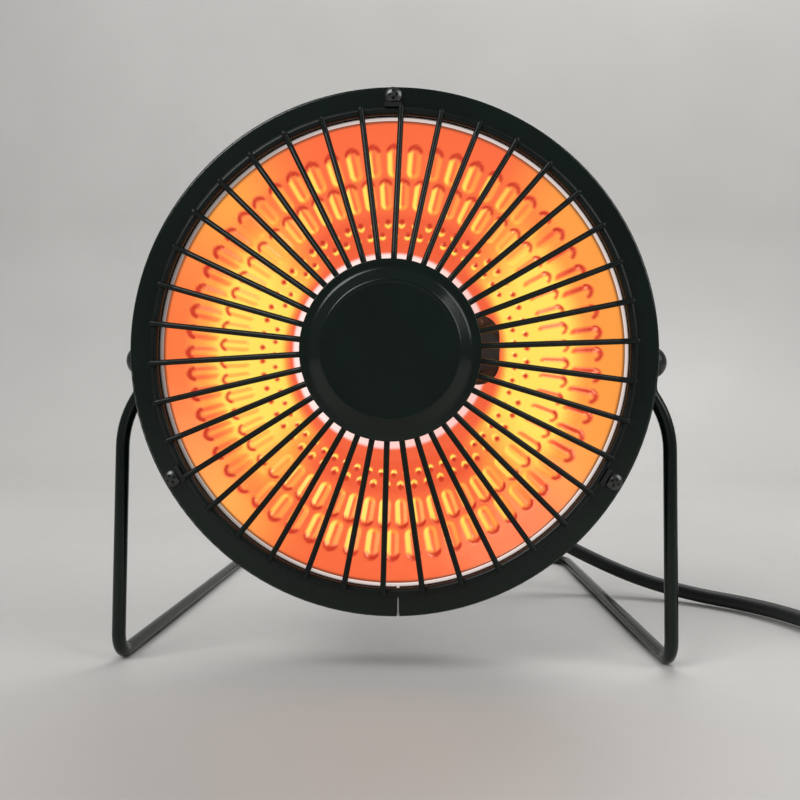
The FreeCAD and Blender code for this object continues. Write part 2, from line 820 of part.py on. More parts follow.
# Thermal cut-out: a round switch that looks through the dish beside the element, with two tags
cutout_shell = rod("cutout_shell", "cutout_diameter / 2", "cutout_front",
                   "cutout_x", "cutout_flange_y - cutout_front", "cutout_z", TO_BACK)
cutout_stem = rod("cutout_stem", "cutout_neck / 2", "cutout_flange_sheet + cutout_back",
                  "cutout_x", "cutout_flange_y", "cutout_z", TO_BACK)
cutout_tags = [
    box(f"cutout_tag_{name}", f"cutout_x + {side} * tag_pitch / 2 - tag_sheet / 2", "floor_y + cutout_back",
        "cutout_z - tag_width / 2", "tag_sheet", "tag_length", "tag_width")
    for name, side in (("left", -1), ("right", 1))
]
fuse("thermal_cutout", [cutout_shell, cutout_stem, *cutout_tags])

# Cut-out flange: a plate with round ends, riveted to the dish
end_radius = "cutout_flange_width / 2"
end_centre = "(cutout_flange_length / 2 - cutout_flange_width / 2)"
cutout_flange = new_body("cutout_flange")
flange_outline = outline(cutout_flange, "XZ_Plane", [
    (end_radius, f"-{end_centre}"),
    (end_radius, end_centre, end_radius, 1),
    ("0", f"{end_centre} + {end_radius}", end_radius, 1),
    (f"-{end_radius}", end_centre),
    (f"-{end_radius}", f"-{end_centre}", end_radius, 1),
    ("0", f"-{end_centre} - {end_radius}", end_radius, 1),
], "flange_outline")
pad(cutout_flange, flange_outline, "cutout_flange_sheet")
flange_bores = circles(cutout_flange, "XZ_Plane", [
    ("0", "0", "cutout_neck / 2 + screw_clear"),
    ("0", "rivet_reach", "rivet_shank / 2 + screw_clear"),
    ("0", "-rivet_reach", "rivet_shank / 2 + screw_clear"),
], "flange_bores")
cut_through(cutout_flange, flange_bores, "both")
on_head(cutout_flange, "cutout_x", "floor_y - cutout_flange_sheet / 2", "cutout_z")

rivets = []
for side in (1, -1):
    grip = val("cutout_flange_sheet + dish_sheet")
    rivet = screw(val("rivet_head"), val("rivet_head_height"), val("rivet_shank"), grip, crossed=False)
    tail = Part.makeCylinder(val("rivet_head / 2"), val("rivet_head_height"),
                             Vector(0, grip, 0), Vector(0, 1, 0))
    rivet = rivet.fuse(tail).removeSplitter()
    rivet.translate(vec("cutout_x", "cutout_flange_y", f"cutout_z + {side} * rivet_reach"))
    rivets.append(rivet)
shaped("cutout_rivets", Part.makeCompound(rivets), head_base())

# Terminal block: a ceramic connector on the casing's back, held by one screw from outside
block_solid = box("block_solid", "block_x - block_width / 2", "back_inner_y - block_depth",
                  "block_z - block_height / 2", "block_width", "block_depth", "block_height")
block_bore = rod("block_bore", "screw_shank / 2 + seat_gap", "block_depth / 2", "block_x",
                 "back_inner_y - block_depth / 2", "block_z", TO_BACK)
cut("terminal_block", block_solid, block_bore)
block_screw = screw(val("screw_head"), val("screw_head_height"), val("screw_shank"),
                    val("casing_sheet + block_depth / 3"))
block_screw.rotate(Vector(), Vector(0, 0, 1), 180)
block_screw.translate(vec("block_x", "casing_back", "block_z"))
shaped("terminal_screw", block_screw, head_base())

# Inner wiring: insulated leads from the gland to the switch, the cut-out, the element and the block
LEADS = {
    "lead_neutral": [
        ("block_x", "gland_inner_y", "gland_z"),
        ("block_x", "block_y", "gland_z"),
        ("block_x", "block_y", "block_z - block_height / 2"),
    ],
    "lead_live": [
        ("gland_x - core_pitch / 2", "gland_inner_y", "gland_z"),
        ("gland_x - core_pitch / 2", "tag_y", "gland_z"),
        ("(gland_x + switch_x) / 2", "tag_y", "switch_z - tag_pitch / 2"),
        ("switch_x + tag_width / 2", "tag_y", "switch_z - tag_pitch / 2"),
    ],
    "lead_switched": [
        ("switch_x + tag_width / 2", "tag_y", "switch_z + tag_pitch / 2"),
        ("switch_x / 3", "tag_y", "switch_z + tag_pitch / 2"),
        ("cutout_x / 3", "floor_y + cutout_back + tag_length / 2", "cutout_z"),
        ("cutout_x - tag_pitch / 2 - tag_sheet / 2", "floor_y + cutout_back + tag_length / 2", "cutout_z"),
    ],
    "lead_element_top": [
        ("lead_offset", "element_y + holder_width / 2", lead_z),
        ("lead_offset", "floor_y + cutout_back + tag_length / 2", lead_z),
        ("cutout_x + tag_pitch / 2", "floor_y + cutout_back + tag_length / 2", lead_z),
        ("cutout_x + tag_pitch / 2", "floor_y + cutout_back + tag_length / 2", "cutout_z + tag_width / 2"),
    ],
    "lead_element_bottom": [
        ("lead_offset", "element_y + holder_width / 2", f"-{lead_z}"),
        ("lead_offset", "block_y", f"-{lead_z}"),
        ("lead_offset", "block_y", "block_z"),
        ("block_x - block_width / 2", "block_y", "block_z"),
    ],
}
for label, route in LEADS.items():
    points = [vec(*point) for point in route]
    path = rounded_path(points, [val("lead_bend")] * (len(points) - 2))
    shaped(label, tube(path, val("lead_diameter")), head_base())

# Switch body: a lip outside the casing, a box inside it, a well for the rocker and two tags
lip = box("switch_lip_plate", "switch_x - switch_width / 2", "casing_back", "switch_z - switch_height / 2",
          "switch_width", "switch_lip", "switch_height")
inner = box("switch_box", "switch_x - switch_width / 2 + switch_wall", "casing_back - switch_inner_depth",
            "switch_z - switch_height / 2 + switch_wall", "switch_width - 2 * switch_wall",
            "switch_inner_depth", "switch_height - 2 * switch_wall")
switch_tags = [
    box(f"switch_tag_{name}", "switch_x - tag_width / 2", "casing_back - switch_inner_depth - tag_length",
        f"switch_z + {side} * tag_pitch / 2 - tag_sheet / 2", "tag_width", "tag_length", "tag_sheet")
    for name, side in (("low", -1), ("high", 1))
]
switch_solid = fuse("switch_solid", [lip, inner, *switch_tags])
well_depth = "(rocker_sink * 2)"
well = box("switch_well", "switch_x - switch_width / 2 + 2 * switch_wall", f"switch_lip_y - {well_depth}",
           "switch_z - well_height / 2", "switch_width - 4 * switch_wall", well_depth, "well_height")
sockets = rod("switch_sockets", "trunnion_diameter / 2 + pivot_clear", "switch_width",
              "switch_x - switch_width / 2", "rocker_y", "switch_z", TO_RIGHT)
cut("switch_body", switch_solid, fuse("switch_hollow", [well, sockets]))

# Switch rocker: tips about a cross axis in the well and is stored with one end pressed
half_rocker = "rocker_height / 2"
switch_rocker = new_body("switch_rocker")
rocker_outline = outline(switch_rocker, "YZ_Plane", [
    ("rocker_sink + rocker_crest", f"-{half_rocker}"),
    ("rocker_sink + rocker_valley", "0"),
    ("rocker_sink + rocker_crest", half_rocker),
    ("rocker_sink * 0.4", f"{half_rocker} * 0.95"),
    ("-rocker_sink * 0.6", f"{half_rocker} * 0.4"),
    ("-rocker_sink * 0.6", f"-{half_rocker} * 0.4"),
    ("rocker_sink * 0.4", f"-{half_rocker} * 0.95"),
], "rocker_outline")
rocker_width = "(switch_width - 4 * switch_wall - 2 * rocker_clear)"
pad(switch_rocker, rocker_outline, rocker_width)
trunnions = circles(switch_rocker, "YZ_Plane", [("0", "0", "trunnion_diameter / 2")], "trunnions")
pad(switch_rocker, trunnions, f"{rocker_width} + 2 * (rocker_clear + trunnion_length)")
on_head(switch_rocker, "switch_x", "rocker_y", "switch_z")
switch_rocker.Placement.Rotation = Rotation(Vector(1, 0, 0), -val("rocker_angle"))

# Cord gland: a rubber strain relief that snaps into the casing's back and tapers along the cord
cord_gland = new_body("cord_gland")
turned(cord_gland, [
    ("0", "gland_inner_y"),
    ("gland_flange / 2 - gland_collar / 2", "gland_inner_y"),
    ("gland_flange / 2 - gland_collar / 2", "back_inner_y"),
    ("gland_neck / 2", "back_inner_y"),
    ("gland_neck / 2", "casing_back"),
    ("gland_flange / 2", "casing_back"),
    ("gland_flange / 2", "casing_back + gland_flange_height"),
    ("sleeve_root / 2", "casing_back + gland_flange_height"),
    ("sleeve_tip / 2", "gland_end_y"),
    ("0", "gland_end_y"),
], "gland_outline")
on_head(cord_gland, "gland_x", "0", "gland_z")

# Tilt pivots: on each side a domed screw, a friction washer and a nut inside the casing
dome_arc = "((dome_diameter / 2)^2 + dome_height^2) / (2 * dome_height)"
wall_x = "sqrt((casing_radius - casing_sheet)^2 - (axis_rise + pivot_nut_flats / sqrt(3))^2)"
nut_x = f"({wall_x} - 2 * seat_gap - pivot_nut_height)"
for name, side in (("left", -1), ("right", 1)):
    pivot_screw = new_body(f"pivot_screw_{name}")
    tip_x = f"{side} * ({nut_x} - pivot_diameter / 4)"
    base_x = f"{side} * dome_x"
    screw_outline = outline(pivot_screw, "XY_Plane", [
        (tip_x, "0"),
        (tip_x, "pivot_diameter / 2"),
        (base_x, "pivot_diameter / 2"),
        (base_x, "dome_diameter / 2", dome_arc, -side),
        (f"{side} * (dome_x + dome_height)", "0"),
    ], "screw_outline")
    revolve(pivot_screw, screw_outline, "H_Axis")
    at_pivot(pivot_screw)

    washer_low = "washer_x" if side > 0 else "-washer_x - washer_height"
    disc = rod(f"washer_disc_{name}", "washer_diameter / 2", "washer_height",
               washer_low, "0", "-axis_rise", TO_RIGHT)
    hole = rod(f"washer_hole_{name}", "pivot_diameter / 2 + pivot_clear", "washer_height",
               washer_low, "0", "-axis_rise", TO_RIGHT)
    cut(f"pivot_washer_{name}", disc, hole)

    nut_bore = val("pivot_diameter + 2 * pivot_clear")
    nut = hexagon_nut(val("pivot_nut_flats"), val("pivot_nut_height"), nut_bore)
    nut.rotate(Vector(), Vector(0, 0, 1), -90)
    nut_low = val(nut_x) if side > 0 else -val(nut_x) - val("pivot_nut_height")
    nut.translate(Vector(nut_low, 0, -val("axis_rise")))
    shaped(f"pivot_nut_{name}", nut, head_base())


# Stand: one bent round wire with flattened, pierced eyes at its two ends
def ellipse(centre, half_x, half_y):
    """A level ellipse, wider along Y."""
    if abs(half_x - half_y) < 1e-6:
        circle = Part.makeCircle(half_x, centre, Vector(0, 0, 1))
        circle.rotate(centre, Vector(0, 0, 1), 90)
        return Part.Wire(circle)
    curve = Part.Ellipse(centre + Vector(0, half_y, 0), centre - Vector(half_x, 0, 0), centre)
    return Part.Wire(curve.toShape())


def stand_wire():
    wire = val("stand_wire")
    eye_plane = val("eye_x + eye_thickness / 2")
    leg_x = val("leg_x")
    floor = wire / 2 - val("pivot_height")
    eye_radius = val("eye_diameter / 2")
    neck_top = -eye_radius * 0.7
    flare_top = -max(val("washer_diameter"), val("dome_diameter")) / 2 - val("eye_clear")
    neck_end = -eye_radius - val("eye_neck")
    jog_top = neck_end - wire / 2
    right = [
        Vector(eye_plane, 0, neck_end),
        Vector(eye_plane, 0, jog_top),
        Vector(leg_x, 0, jog_top - val("jog_length")),
        Vector(leg_x, -val("foot_forward"), floor),
        Vector(leg_x - val("toe_in"), val("stand_depth"), floor),
    ]
    left = [Vector(-p.x, p.y, p.z) for p in reversed(right)]
    bends = [val("jog_bend"), val("jog_sweep"), val("foot_bend"), val("rear_bend")]
    path = rounded_path(right + left, bends + bends[::-1])
    solid = tube(path, wire)
    report_tube("stand_wire", path, solid, wire)
    for side in (1, -1):
        x = side * eye_plane
        thick = val("eye_thickness")
        disc = Part.makeCylinder(eye_radius, thick, Vector(x - thick / 2, 0, 0), Vector(1, 0, 0))
        neck = Part.makeLoft([
            ellipse(Vector(x, 0, neck_end), wire / 2, wire / 2),
            ellipse(Vector(x, 0, flare_top), thick / 2, (eye_radius * 0.7 + wire / 2) / 2),
            ellipse(Vector(x, 0, neck_top), thick / 2, eye_radius * 0.7),
        ], True, True)
        solid = solid.fuse([disc, neck])
    bore_radius = val("pivot_diameter / 2 + pivot_clear")
    bore = Part.makeCylinder(bore_radius, 2 * leg_x, Vector(-leg_x, 0, 0), Vector(1, 0, 0))
    return solid.cut(bore).removeSplitter()


shaped("stand_wire", stand_wire(), vec("0", "head_y", "pivot_height"))

# Mains cord: out of the gland, down behind the head and along the table to the right
CORD_ROUTE = [
    (27.0, 7.0, 79.5),
    (32.0, 31.0, 68.5),
    (46.0, 47.5, 48.5),
    (69.0, 51.0, 30.0),
    (93.0, 44.5, 18.0),
    (117.0, 33.5, 8.6),
    (141.0, 20.5, 4.2),
    (160.0, 3.5, 4.0),
    (171.0, -16.5, 4.4),
    (177.0, -36.5, 4.4),
]


def easy_radii(points):
    """For each inner point the largest arc that its two runs allow."""
    radii = []
    for before, corner, after in zip(points, points[1:], points[2:]):
        turn = (corner - before).getAngle(after - corner)
        shorter = min((corner - before).Length, (after - corner).Length)
        radii.append(0.45 * shorter / math.tan(turn / 2))
    return radii


cord_diameter = val("cord_diameter")
cord_points = [vec("gland_x", "head_y + gland_end_y", "head_z + gland_z")]
cord_points += [Vector(*point) for point in CORD_ROUTE]
cord_radii = easy_radii(cord_points)
print("mains_cord: radii", [round(radius) for radius in cord_radii])
cord_path = rounded_path(cord_points, cord_radii)
cord_solid = tube(cord_path, cord_diameter)
report_tube("mains_cord", cord_path, cord_solid, cord_diameter)
shaped("mains_cord", cord_solid)

# Cord coil: spirals in on the table, climbs a layer where it turns back and spirals out on top
coil_start = cord_points[-1]
coil_way = cord_points[-1] - cord_points[-2]
coil_way.z = 0
coil_way.normalize()
coil_left = Vector(-coil_way.y, coil_way.x, 0)
coil_entry = coil_start + coil_way * cord_diameter
coil_entry.z = val("coil_lift + cord_diameter / 2")
coil_start.z = coil_entry.z
coil_centre = coil_entry + coil_left * val("coil_outer")
entry_angle = math.atan2(-coil_left.y, -coil_left.x)
layer_angle = 2 * math.pi * val("coil_layer_turns")
# The last turn ends where the cord points straight back
coil_angle = 2 * layer_angle - entry_angle


def coil_point(angle):
    """A point of the coil's centre line; angle runs on from the entry through all the turns."""
    turn_back = layer_angle + math.pi / 2
    travel = turn_back - abs(angle - turn_back)
    radius = val("coil_outer") - val("coil_pitch") * travel / (2 * math.pi)
    climb = min(max((angle - layer_angle) / math.pi, 0), 1)
    eased = climb**2 * (3 - 2 * climb)
    way = entry_angle + angle
    return coil_centre + Vector(radius * math.cos(way), radius * math.sin(way), val("coil_layer") * eased)


def coil_way_at(angle):
    if angle <= 0:
        return Vector(coil_way)
    step = min(0.05, (coil_angle - angle) if angle < coil_angle else 0.05)
    if step < 1e-6 or angle >= coil_angle:
        way = entry_angle + coil_angle + math.pi / 2
        return Vector(math.cos(way), math.sin(way), 0)
    return (coil_point(angle + step) - coil_point(angle - step)).normalize()


quarters = round(coil_angle / (math.pi / 2))
coil_edges = [Part.LineSegment(coil_start, coil_entry).toShape()]
for i in range(quarters):
    first, last = i * coil_angle / quarters, (i + 1) * coil_angle / quarters
    coil_edges += biarc(coil_point(first), coil_way_at(first), coil_point(last), coil_way_at(last))
coil_exit = coil_point(coil_angle)
exit_way = coil_way_at(coil_angle)
coil_end = coil_exit + exit_way * cord_diameter
coil_edges.append(Part.LineSegment(coil_exit, coil_end).toShape())
coil_path = Part.Wire(coil_edges)
coil_solid = tube(coil_path, cord_diameter)
report_tube("cord_coil", coil_path, coil_solid, cord_diameter)
print(f"cord_coil: least gap {least_gap(coil_path, cord_diameter):.2f}")
shaped("cord_coil", coil_solid)


# Cord tie: a flat strap closed round all the turns, three quarters of a turn on from the coil's entry
tie_turn = 0.75


def cord_tie():
    clear = val("tie_clear")
    strap = val("tie_sheet")
    outer_line = val("coil_outer") - val("coil_pitch") * tie_turn
    inner_line = outer_line - val("coil_pitch * (coil_layer_turns - 1)")
    inner_radius = inner_line - cord_diameter / 2 - clear
    outer_radius = outer_line + cord_diameter / 2 + clear
    top = val("coil_lift + coil_layer") + cord_diameter + clear / 2
    width = val("tie_width")
    length = outer_radius - inner_radius
    hollow = Part.makeBox(length, width, top - strap, Vector(inner_radius, -width / 2, strap))
    block = Part.makeBox(length + 2 * strap, width, top + strap, Vector(inner_radius - strap, -width / 2, 0))
    return block.cut(hollow)


tie_angle = math.degrees(entry_angle) + 360 * tie_turn
shaped("cord_tie", cord_tie(), Vector(coil_centre.x, coil_centre.y, 0), Rotation(Vector(0, 0, 1), tie_angle))

# Cord tail: the short end from the coil down to the plug
drop = coil_end.z - val("plug_thickness") / 2
tail_length = val("tail_length")
tail_points = [
    coil_end,
    coil_end + exit_way * (tail_length * 0.27),
    coil_end + exit_way * (tail_length * 0.73) - Vector(0, 0, drop),
    coil_end + exit_way * tail_length - Vector(0, 0, drop),
]
tail_radii = easy_radii(tail_points)
print("cord_tail: radii", [round(radius) for radius in tail_radii])
tail_path = rounded_path(tail_points, tail_radii)
tail_solid = tube(tail_path, cord_diameter)
report_tube("cord_tail", tail_path, tail_solid, cord_diameter)
shaped("cord_tail", tail_solid)


# Plug: a moulded body with a tapered strain relief and two round pins, lying on the table
def plug_body():
    relief = val("relief_length")
    length = val("plug_length")
    width = val("plug_width")
    thick = val("plug_thickness")
    solid = Part.makeBox(length, width, thick, Vector(relief, -width / 2, -thick / 2))
    upright = [edge for edge in solid.Edges if abs(edge.tangentAt(0).z) > 0.9]
    solid = solid.makeFillet(val("plug_round"), upright)
    cone = Part.makeCone(val("relief_tip") / 2, val("relief_root") / 2, relief + 1, Vector(), Vector(1, 0, 0))
    return solid.fuse(cone).removeSplitter()


def plug_pins():
    start = val("relief_length + plug_length")
    radius = val("pin_diameter") / 2
    pins = []
    for side in (1, -1):
        base = Vector(start, side * val("pin_spacing") / 2, 0)
        pin = Part.makeCylinder(radius, val("pin_length"), base, Vector(1, 0, 0))
        far = [edge for edge in pin.Edges if abs(edge.BoundBox.XMin - start - val("pin_length")) < 1e-6]
        pins.append(pin.makeFillet(radius * 0.6, far))
    return Part.makeCompound(pins)


plug_base = tail_points[-1]
plug_turn = Rotation(Vector(0, 0, 1), math.degrees(math.atan2(exit_way.y, exit_way.x)))
shaped("plug_body", plug_body(), plug_base, plug_turn)
shaped("plug_pins", plug_pins(), plug_base, plug_turn)

NODES = [
    "front_hoop", "hoop_screws", "guard_clips", "guard_ring_outer", "guard_wires",
    "guard_ring_inner", "centre_cap", "reflector_dish", "rear_casing", "heating_core",
    "heating_coil", "core_holder_top", "core_holder_bottom", "core_bracket", "bracket_screws",
    "bracket_nuts", "thermal_cutout", "cutout_flange", "cutout_rivets", "terminal_block",
    "terminal_screw", "lead_neutral", "lead_live", "lead_switched", "lead_element_top",
    "lead_element_bottom", "switch_body", "switch_rocker", "cord_gland", "pivot_screw_left",
    "pivot_screw_right", "pivot_washer_left", "pivot_washer_right", "pivot_nut_left",
    "pivot_nut_right", "stand_wire", "mains_cord", "cord_coil", "cord_tie", "cord_tail",
    "plug_body", "plug_pins",
]

doc.recompute()
for obj in doc.Objects:
    if "Invalid" in obj.State or "Error" in obj.State:
        raise RuntimeError(f"{obj.Label} failed: {obj.State}")
pieces = {label: doc.getObjectsByLabel(label)[0] for label in NODES}
for label, piece in pieces.items():
    if piece.Shape.isNull() or not piece.Shape.isValid() or not piece.Shape.Solids:
        raise RuntimeError(f"{label} has no valid solid")
os.makedirs("parts", exist_ok=True)
for label, piece in pieces.items():
    piece.Shape.exportStep(f"parts/{label}.step")
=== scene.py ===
from functools import lru_cache
import math

import bmesh
import bpy
from mathutils import Matrix, Vector


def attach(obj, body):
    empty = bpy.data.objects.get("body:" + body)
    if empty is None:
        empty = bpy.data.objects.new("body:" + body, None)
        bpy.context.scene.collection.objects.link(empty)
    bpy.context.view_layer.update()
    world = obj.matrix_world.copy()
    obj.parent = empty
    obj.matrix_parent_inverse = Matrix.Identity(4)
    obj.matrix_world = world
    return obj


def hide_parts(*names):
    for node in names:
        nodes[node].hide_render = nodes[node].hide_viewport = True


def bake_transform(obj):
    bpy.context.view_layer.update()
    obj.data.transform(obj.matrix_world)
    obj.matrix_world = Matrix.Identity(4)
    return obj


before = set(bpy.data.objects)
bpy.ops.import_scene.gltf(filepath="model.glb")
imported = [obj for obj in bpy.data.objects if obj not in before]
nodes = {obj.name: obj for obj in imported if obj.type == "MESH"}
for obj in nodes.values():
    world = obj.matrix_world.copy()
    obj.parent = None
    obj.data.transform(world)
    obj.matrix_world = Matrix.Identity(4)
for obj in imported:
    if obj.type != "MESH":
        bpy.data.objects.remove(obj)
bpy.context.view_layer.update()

# View: the camera stands where the photograph was taken from, about 30 cm in front of the guard,
# level with the head's middle. The head's frame has its origin on the dish's centre line.
HEAD = Vector((0, -0.074775, 0.1145))
CAMERA_PLACE = Vector((0.0115, HEAD.y - 0.3222, 0.1015))
CAMERA_YAW, CAMERA_PITCH, CAMERA_ROLL = 1.66, -0.67, 0.28
FOCAL_PIXELS, PICTURE_PIXELS = 867, 800
camera = bpy.data.objects.new("camera", bpy.data.cameras.new("camera"))
camera.data.sensor_width = 36
camera.data.lens = camera.data.sensor_width * FOCAL_PIXELS / PICTURE_PIXELS
camera.data.clip_start = 0.01
camera.matrix_world = (
    Matrix.Translation(CAMERA_PLACE)
    @ Matrix.Rotation(math.radians(CAMERA_YAW), 4, "Z")
    @ Matrix.Rotation(math.radians(90 + CAMERA_PITCH), 4, "X")
    @ Matrix.Rotation(math.radians(CAMERA_ROLL), 4, "Z")
)
bpy.context.scene.collection.objects.link(camera)
bpy.context.scene.camera = camera
bpy.context.scene.view_settings.view_transform = "Standard"


# Mains cord: a black rubber-sheathed two-core lead. It leaves the gland, hangs down behind the head
# and lies along the table; what the photograph doesn't show is wound into a tied coil.
def smooth_line(points, width=None):
    """The mesh of a NURBS line through a route, as a bare line or as a round tube."""
    curve = bpy.data.curves.new("route", "CURVE")
    curve.dimensions = "3D"
    spline = curve.splines.new("NURBS")
    spline.points.add(len(points) - 1)
    for control, place in zip(spline.points, points):
        control.co = (*place, 1)
    spline.use_endpoint_u = True
    spline.order_u = 3
    spline.resolution_u = 6
    if width:
        curve.bevel_depth = width / 2
        curve.bevel_resolution = 4
        curve.use_fill_caps = True
    holder = bpy.data.objects.new("route", curve)
    bpy.context.scene.collection.objects.link(holder)
    graph = bpy.context.evaluated_depsgraph_get()
    mesh = bpy.data.meshes.new_from_object(holder.evaluated_get(graph))
    bpy.data.objects.remove(holder)
    return mesh


def add(name, mesh, material, slot, body, *replaced):
    """A finished piece: smooth shaded, with its material, on its body and in place of CAD nodes."""
    piece = bpy.data.objects.new(name, mesh)
    bpy.context.scene.collection.objects.link(piece)
    mesh.materials.clear()
    mesh.materials.append(material)
    for face in mesh.polygons:
        face.use_smooth = True
    if replaced:
        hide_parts(*replaced)
    if body:
        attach(piece, body)
    return piece


def surface(name, colour, rough, metal=0.0, vary=0.25, blotch=60.0, grain=900.0, bump=0.05, spec=0.5):
    """A solid material whose colour drifts in soft patches and whose gloss and relief have a fine grain."""
    rough_vary = 0.25
    bump_depth = 0.0004
    material = bpy.data.materials.new(name)
    material.use_nodes = True
    tree = material.node_tree
    shader = tree.nodes["Principled BSDF"]
    shader.inputs["Metallic"].default_value = metal
    shader.inputs["Specular IOR Level"].default_value = spec
    place = tree.nodes.new("ShaderNodeTexCoord")

    def noise(scale, detail):
        node = tree.nodes.new("ShaderNodeTexNoise")
        node.inputs["Scale"].default_value = scale
        node.inputs["Detail"].default_value = detail
        tree.links.new(place.outputs["Object"], node.inputs["Vector"])
        return node.outputs["Fac"]

    patches = tree.nodes.new("ShaderNodeValToRGB")
    patches.color_ramp.elements[0].position = 0.3
    patches.color_ramp.elements[0].color = (*(c * (1 - vary) for c in colour), 1)
    patches.color_ramp.elements[1].position = 0.7
    patches.color_ramp.elements[1].color = (*(min(c * (1 + vary), 1) for c in colour), 1)
    tree.links.new(noise(blotch, 3), patches.inputs["Fac"])
    tree.links.new(patches.outputs["Color"], shader.inputs["Base Color"])
    gloss = tree.nodes.new("ShaderNodeMapRange")
    gloss.inputs["To Min"].default_value = rough * (1 - rough_vary)
    gloss.inputs["To Max"].default_value = min(rough * (1 + rough_vary), 1)
    tree.links.new(noise(grain * 0.4, 4), gloss.inputs["Value"])
    tree.links.new(gloss.outputs["Result"], shader.inputs["Roughness"])
    if bump:
        relief = tree.nodes.new("ShaderNodeBump")
        relief.inputs["Strength"].default_value = bump
        relief.inputs["Distance"].default_value = bump_depth
        tree.links.new(noise(grain, 2), relief.inputs["Height"])
        tree.links.new(relief.outputs["Normal"], shader.inputs["Normal"])
    return material


CORD = 0.0068
GLAND = HEAD + Vector((0.027, 0, -0.035))
GLAND_END = 0.060
CORD_EXIT = GLAND + Vector((0, GLAND_END, 0))
cord_route = [CORD_EXIT] + [
    Vector(point) / 1000
    for point in (
        (27.0, 7.0, 79.5),
        (32.0, 31.0, 68.5),
        (46.0, 47.5, 48.5),
        (69.0, 51.0, 30.0),
        (93.0, 44.5, 18.0),
        (117.0, 33.5, 8.6),
        (141.0, 20.5, 4.2),
        (160.0, 3.5, 4.0),
        (171.0, -16.5, 4.4),
        (177.0, -36.5, 4.4),
    )
]
COIL_RADIUS = 0.042
COIL_PITCH = 0.0074
LAYER_TURNS = 2
COIL_LAYER = 2 * math.pi * LAYER_TURNS
coil_way = (cord_route[-1] - cord_route[-2]).normalized()
coil_left = Vector((-coil_way.y, coil_way.x, 0))
coil_centre = cord_route[-1] + coil_way * CORD + coil_left * COIL_RADIUS
coil_entry = math.atan2(-coil_left.y, -coil_left.x)
COIL_ANGLE = 2 * COIL_LAYER - coil_entry


def coil_point(angle):
    """A point of the coil: in on the lower layer, up in the middle half turn, out on the upper one."""
    turn_back = COIL_LAYER + math.pi / 2
    travel = turn_back - abs(angle - turn_back)
    radius = COIL_RADIUS - COIL_PITCH * travel / (2 * math.pi)
    climb = min(max((angle - COIL_LAYER) / math.pi, 0), 1)
    rise = COIL_PITCH * climb**2 * (3 - 2 * climb)
    way = coil_entry + angle
    return coil_centre + Vector((radius * math.cos(way), radius * math.sin(way), rise))


COIL_POINTS = 150
cord_route += [coil_point(COIL_ANGLE * i / COIL_POINTS) for i in range(COIL_POINTS + 1)]
tail_turn = coil_entry + COIL_ANGLE + math.pi / 2
tail_way = Vector((math.cos(tail_turn), math.sin(tail_turn), 0))
coil_end = cord_route[-1] + tail_way * CORD
TAIL = 0.040
TAIL_BEND_HIGH, TAIL_BEND_LOW = 0.0108, 0.0292
PLUG_LINE_Z = 0.007
tail_drop = Vector((0, 0, coil_end.z - PLUG_LINE_Z))
plug_base = coil_end + tail_way * TAIL - tail_drop
cord_route += [coil_end, coil_end + tail_way * TAIL_BEND_HIGH]
cord_route += [coil_end + tail_way * TAIL_BEND_LOW - tail_drop, plug_base]
sheath = surface("cord_sheath", (0.007, 0.010, 0.008), 0.5, blotch=140, grain=2200, bump=0.12, spec=0.4)
cord_nodes = ("mains_cord", "cord_coil", "cord_tail")
cord = add("cord", smooth_line(cord_route, CORD), sheath, "cord_rubber", None, *cord_nodes)
cord_path = [vertex.co.copy() for vertex in smooth_line(cord_route).vertices]
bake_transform(cord)


# Plug: a moulded two-pin plug at the cord's end, lying on the table, with a ribbed strain relief
# moulded on. Its pins are nickel-plated brass.
def finished(work, name):
    """The mesh of a bmesh, with its doubles merged and its faces outwards."""
    bmesh.ops.remove_doubles(work, verts=work.verts, dist=1e-6)
    bmesh.ops.recalc_face_normals(work, faces=work.faces)
    mesh = bpy.data.meshes.new(name)
    work.to_mesh(mesh)
    work.free()
    return mesh


def spun(profile, angle, steps):
    """A bmesh spun about the Y axis from (radius, y) pairs."""
    work = bmesh.new()
    points = [work.verts.new((radius, y, 0)) for radius, y in profile]
    edges = [work.edges.new(ends) for ends in zip(points, points[1:])]
    full = angle == 2 * math.pi
    bmesh.ops.spin(work, geom=points + edges, axis=(0, 1, 0), cent=(0, 0, 0), angle=angle, steps=steps,
                   use_merge=full)
    return work


def turn(profile, segments=64):
    """A mesh turned about the Y axis from (radius, y) pairs."""
    return finished(spun(profile, 2 * math.pi, segments), "turned")


def rounded(points, radius, steps=5):
    """A profile with its inner corners rounded off."""
    line = [points[0]]
    for before, corner, after in zip(points, points[1:], points[2:]):
        a, b, c = Vector(before), Vector(corner), Vector(after)
        reach = min(radius, (a - b).length * 0.45, (c - b).length * 0.45)
        start = b + (a - b).normalized() * reach
        end = b + (c - b).normalized() * reach
        for i in range(steps + 1):
            t = i / steps
            line.append(tuple(start * (1 - t) ** 2 + b * 2 * t * (1 - t) + end * t**2))
    return line + [points[-1]]


def block(size, bevel, segments=3):
    """A box about the origin with all its edges rounded."""
    work = bmesh.new()
    bmesh.ops.create_cube(work, size=1)
    bmesh.ops.scale(work, vec=size, verts=work.verts)
    bmesh.ops.bevel(work, geom=work.edges[:], offset=bevel, affect="EDGES", segments=segments,
                    profile=0.5, material=-1)
    return finished(work, "block")


def joined(meshes):
    """One mesh of several."""
    work = bmesh.new()
    for mesh in meshes:
        work.from_mesh(mesh)
    result = bpy.data.meshes.new("joined")
    work.to_mesh(result)
    work.free()
    return result


def ribs(start, end, root, tip, count, depth):
    """A tapering profile with ring grooves, from (root, start) to (tip, end)."""
    profile = []
    for i in range(count):
        for share, sink in ((0.0, 0), (0.55, 0), (0.62, depth), (0.93, depth)):
            t = (i + share) / count
            profile.append((root + (tip - root) * t - sink, start + (end - start) * t))
    return profile + [(tip, end)]


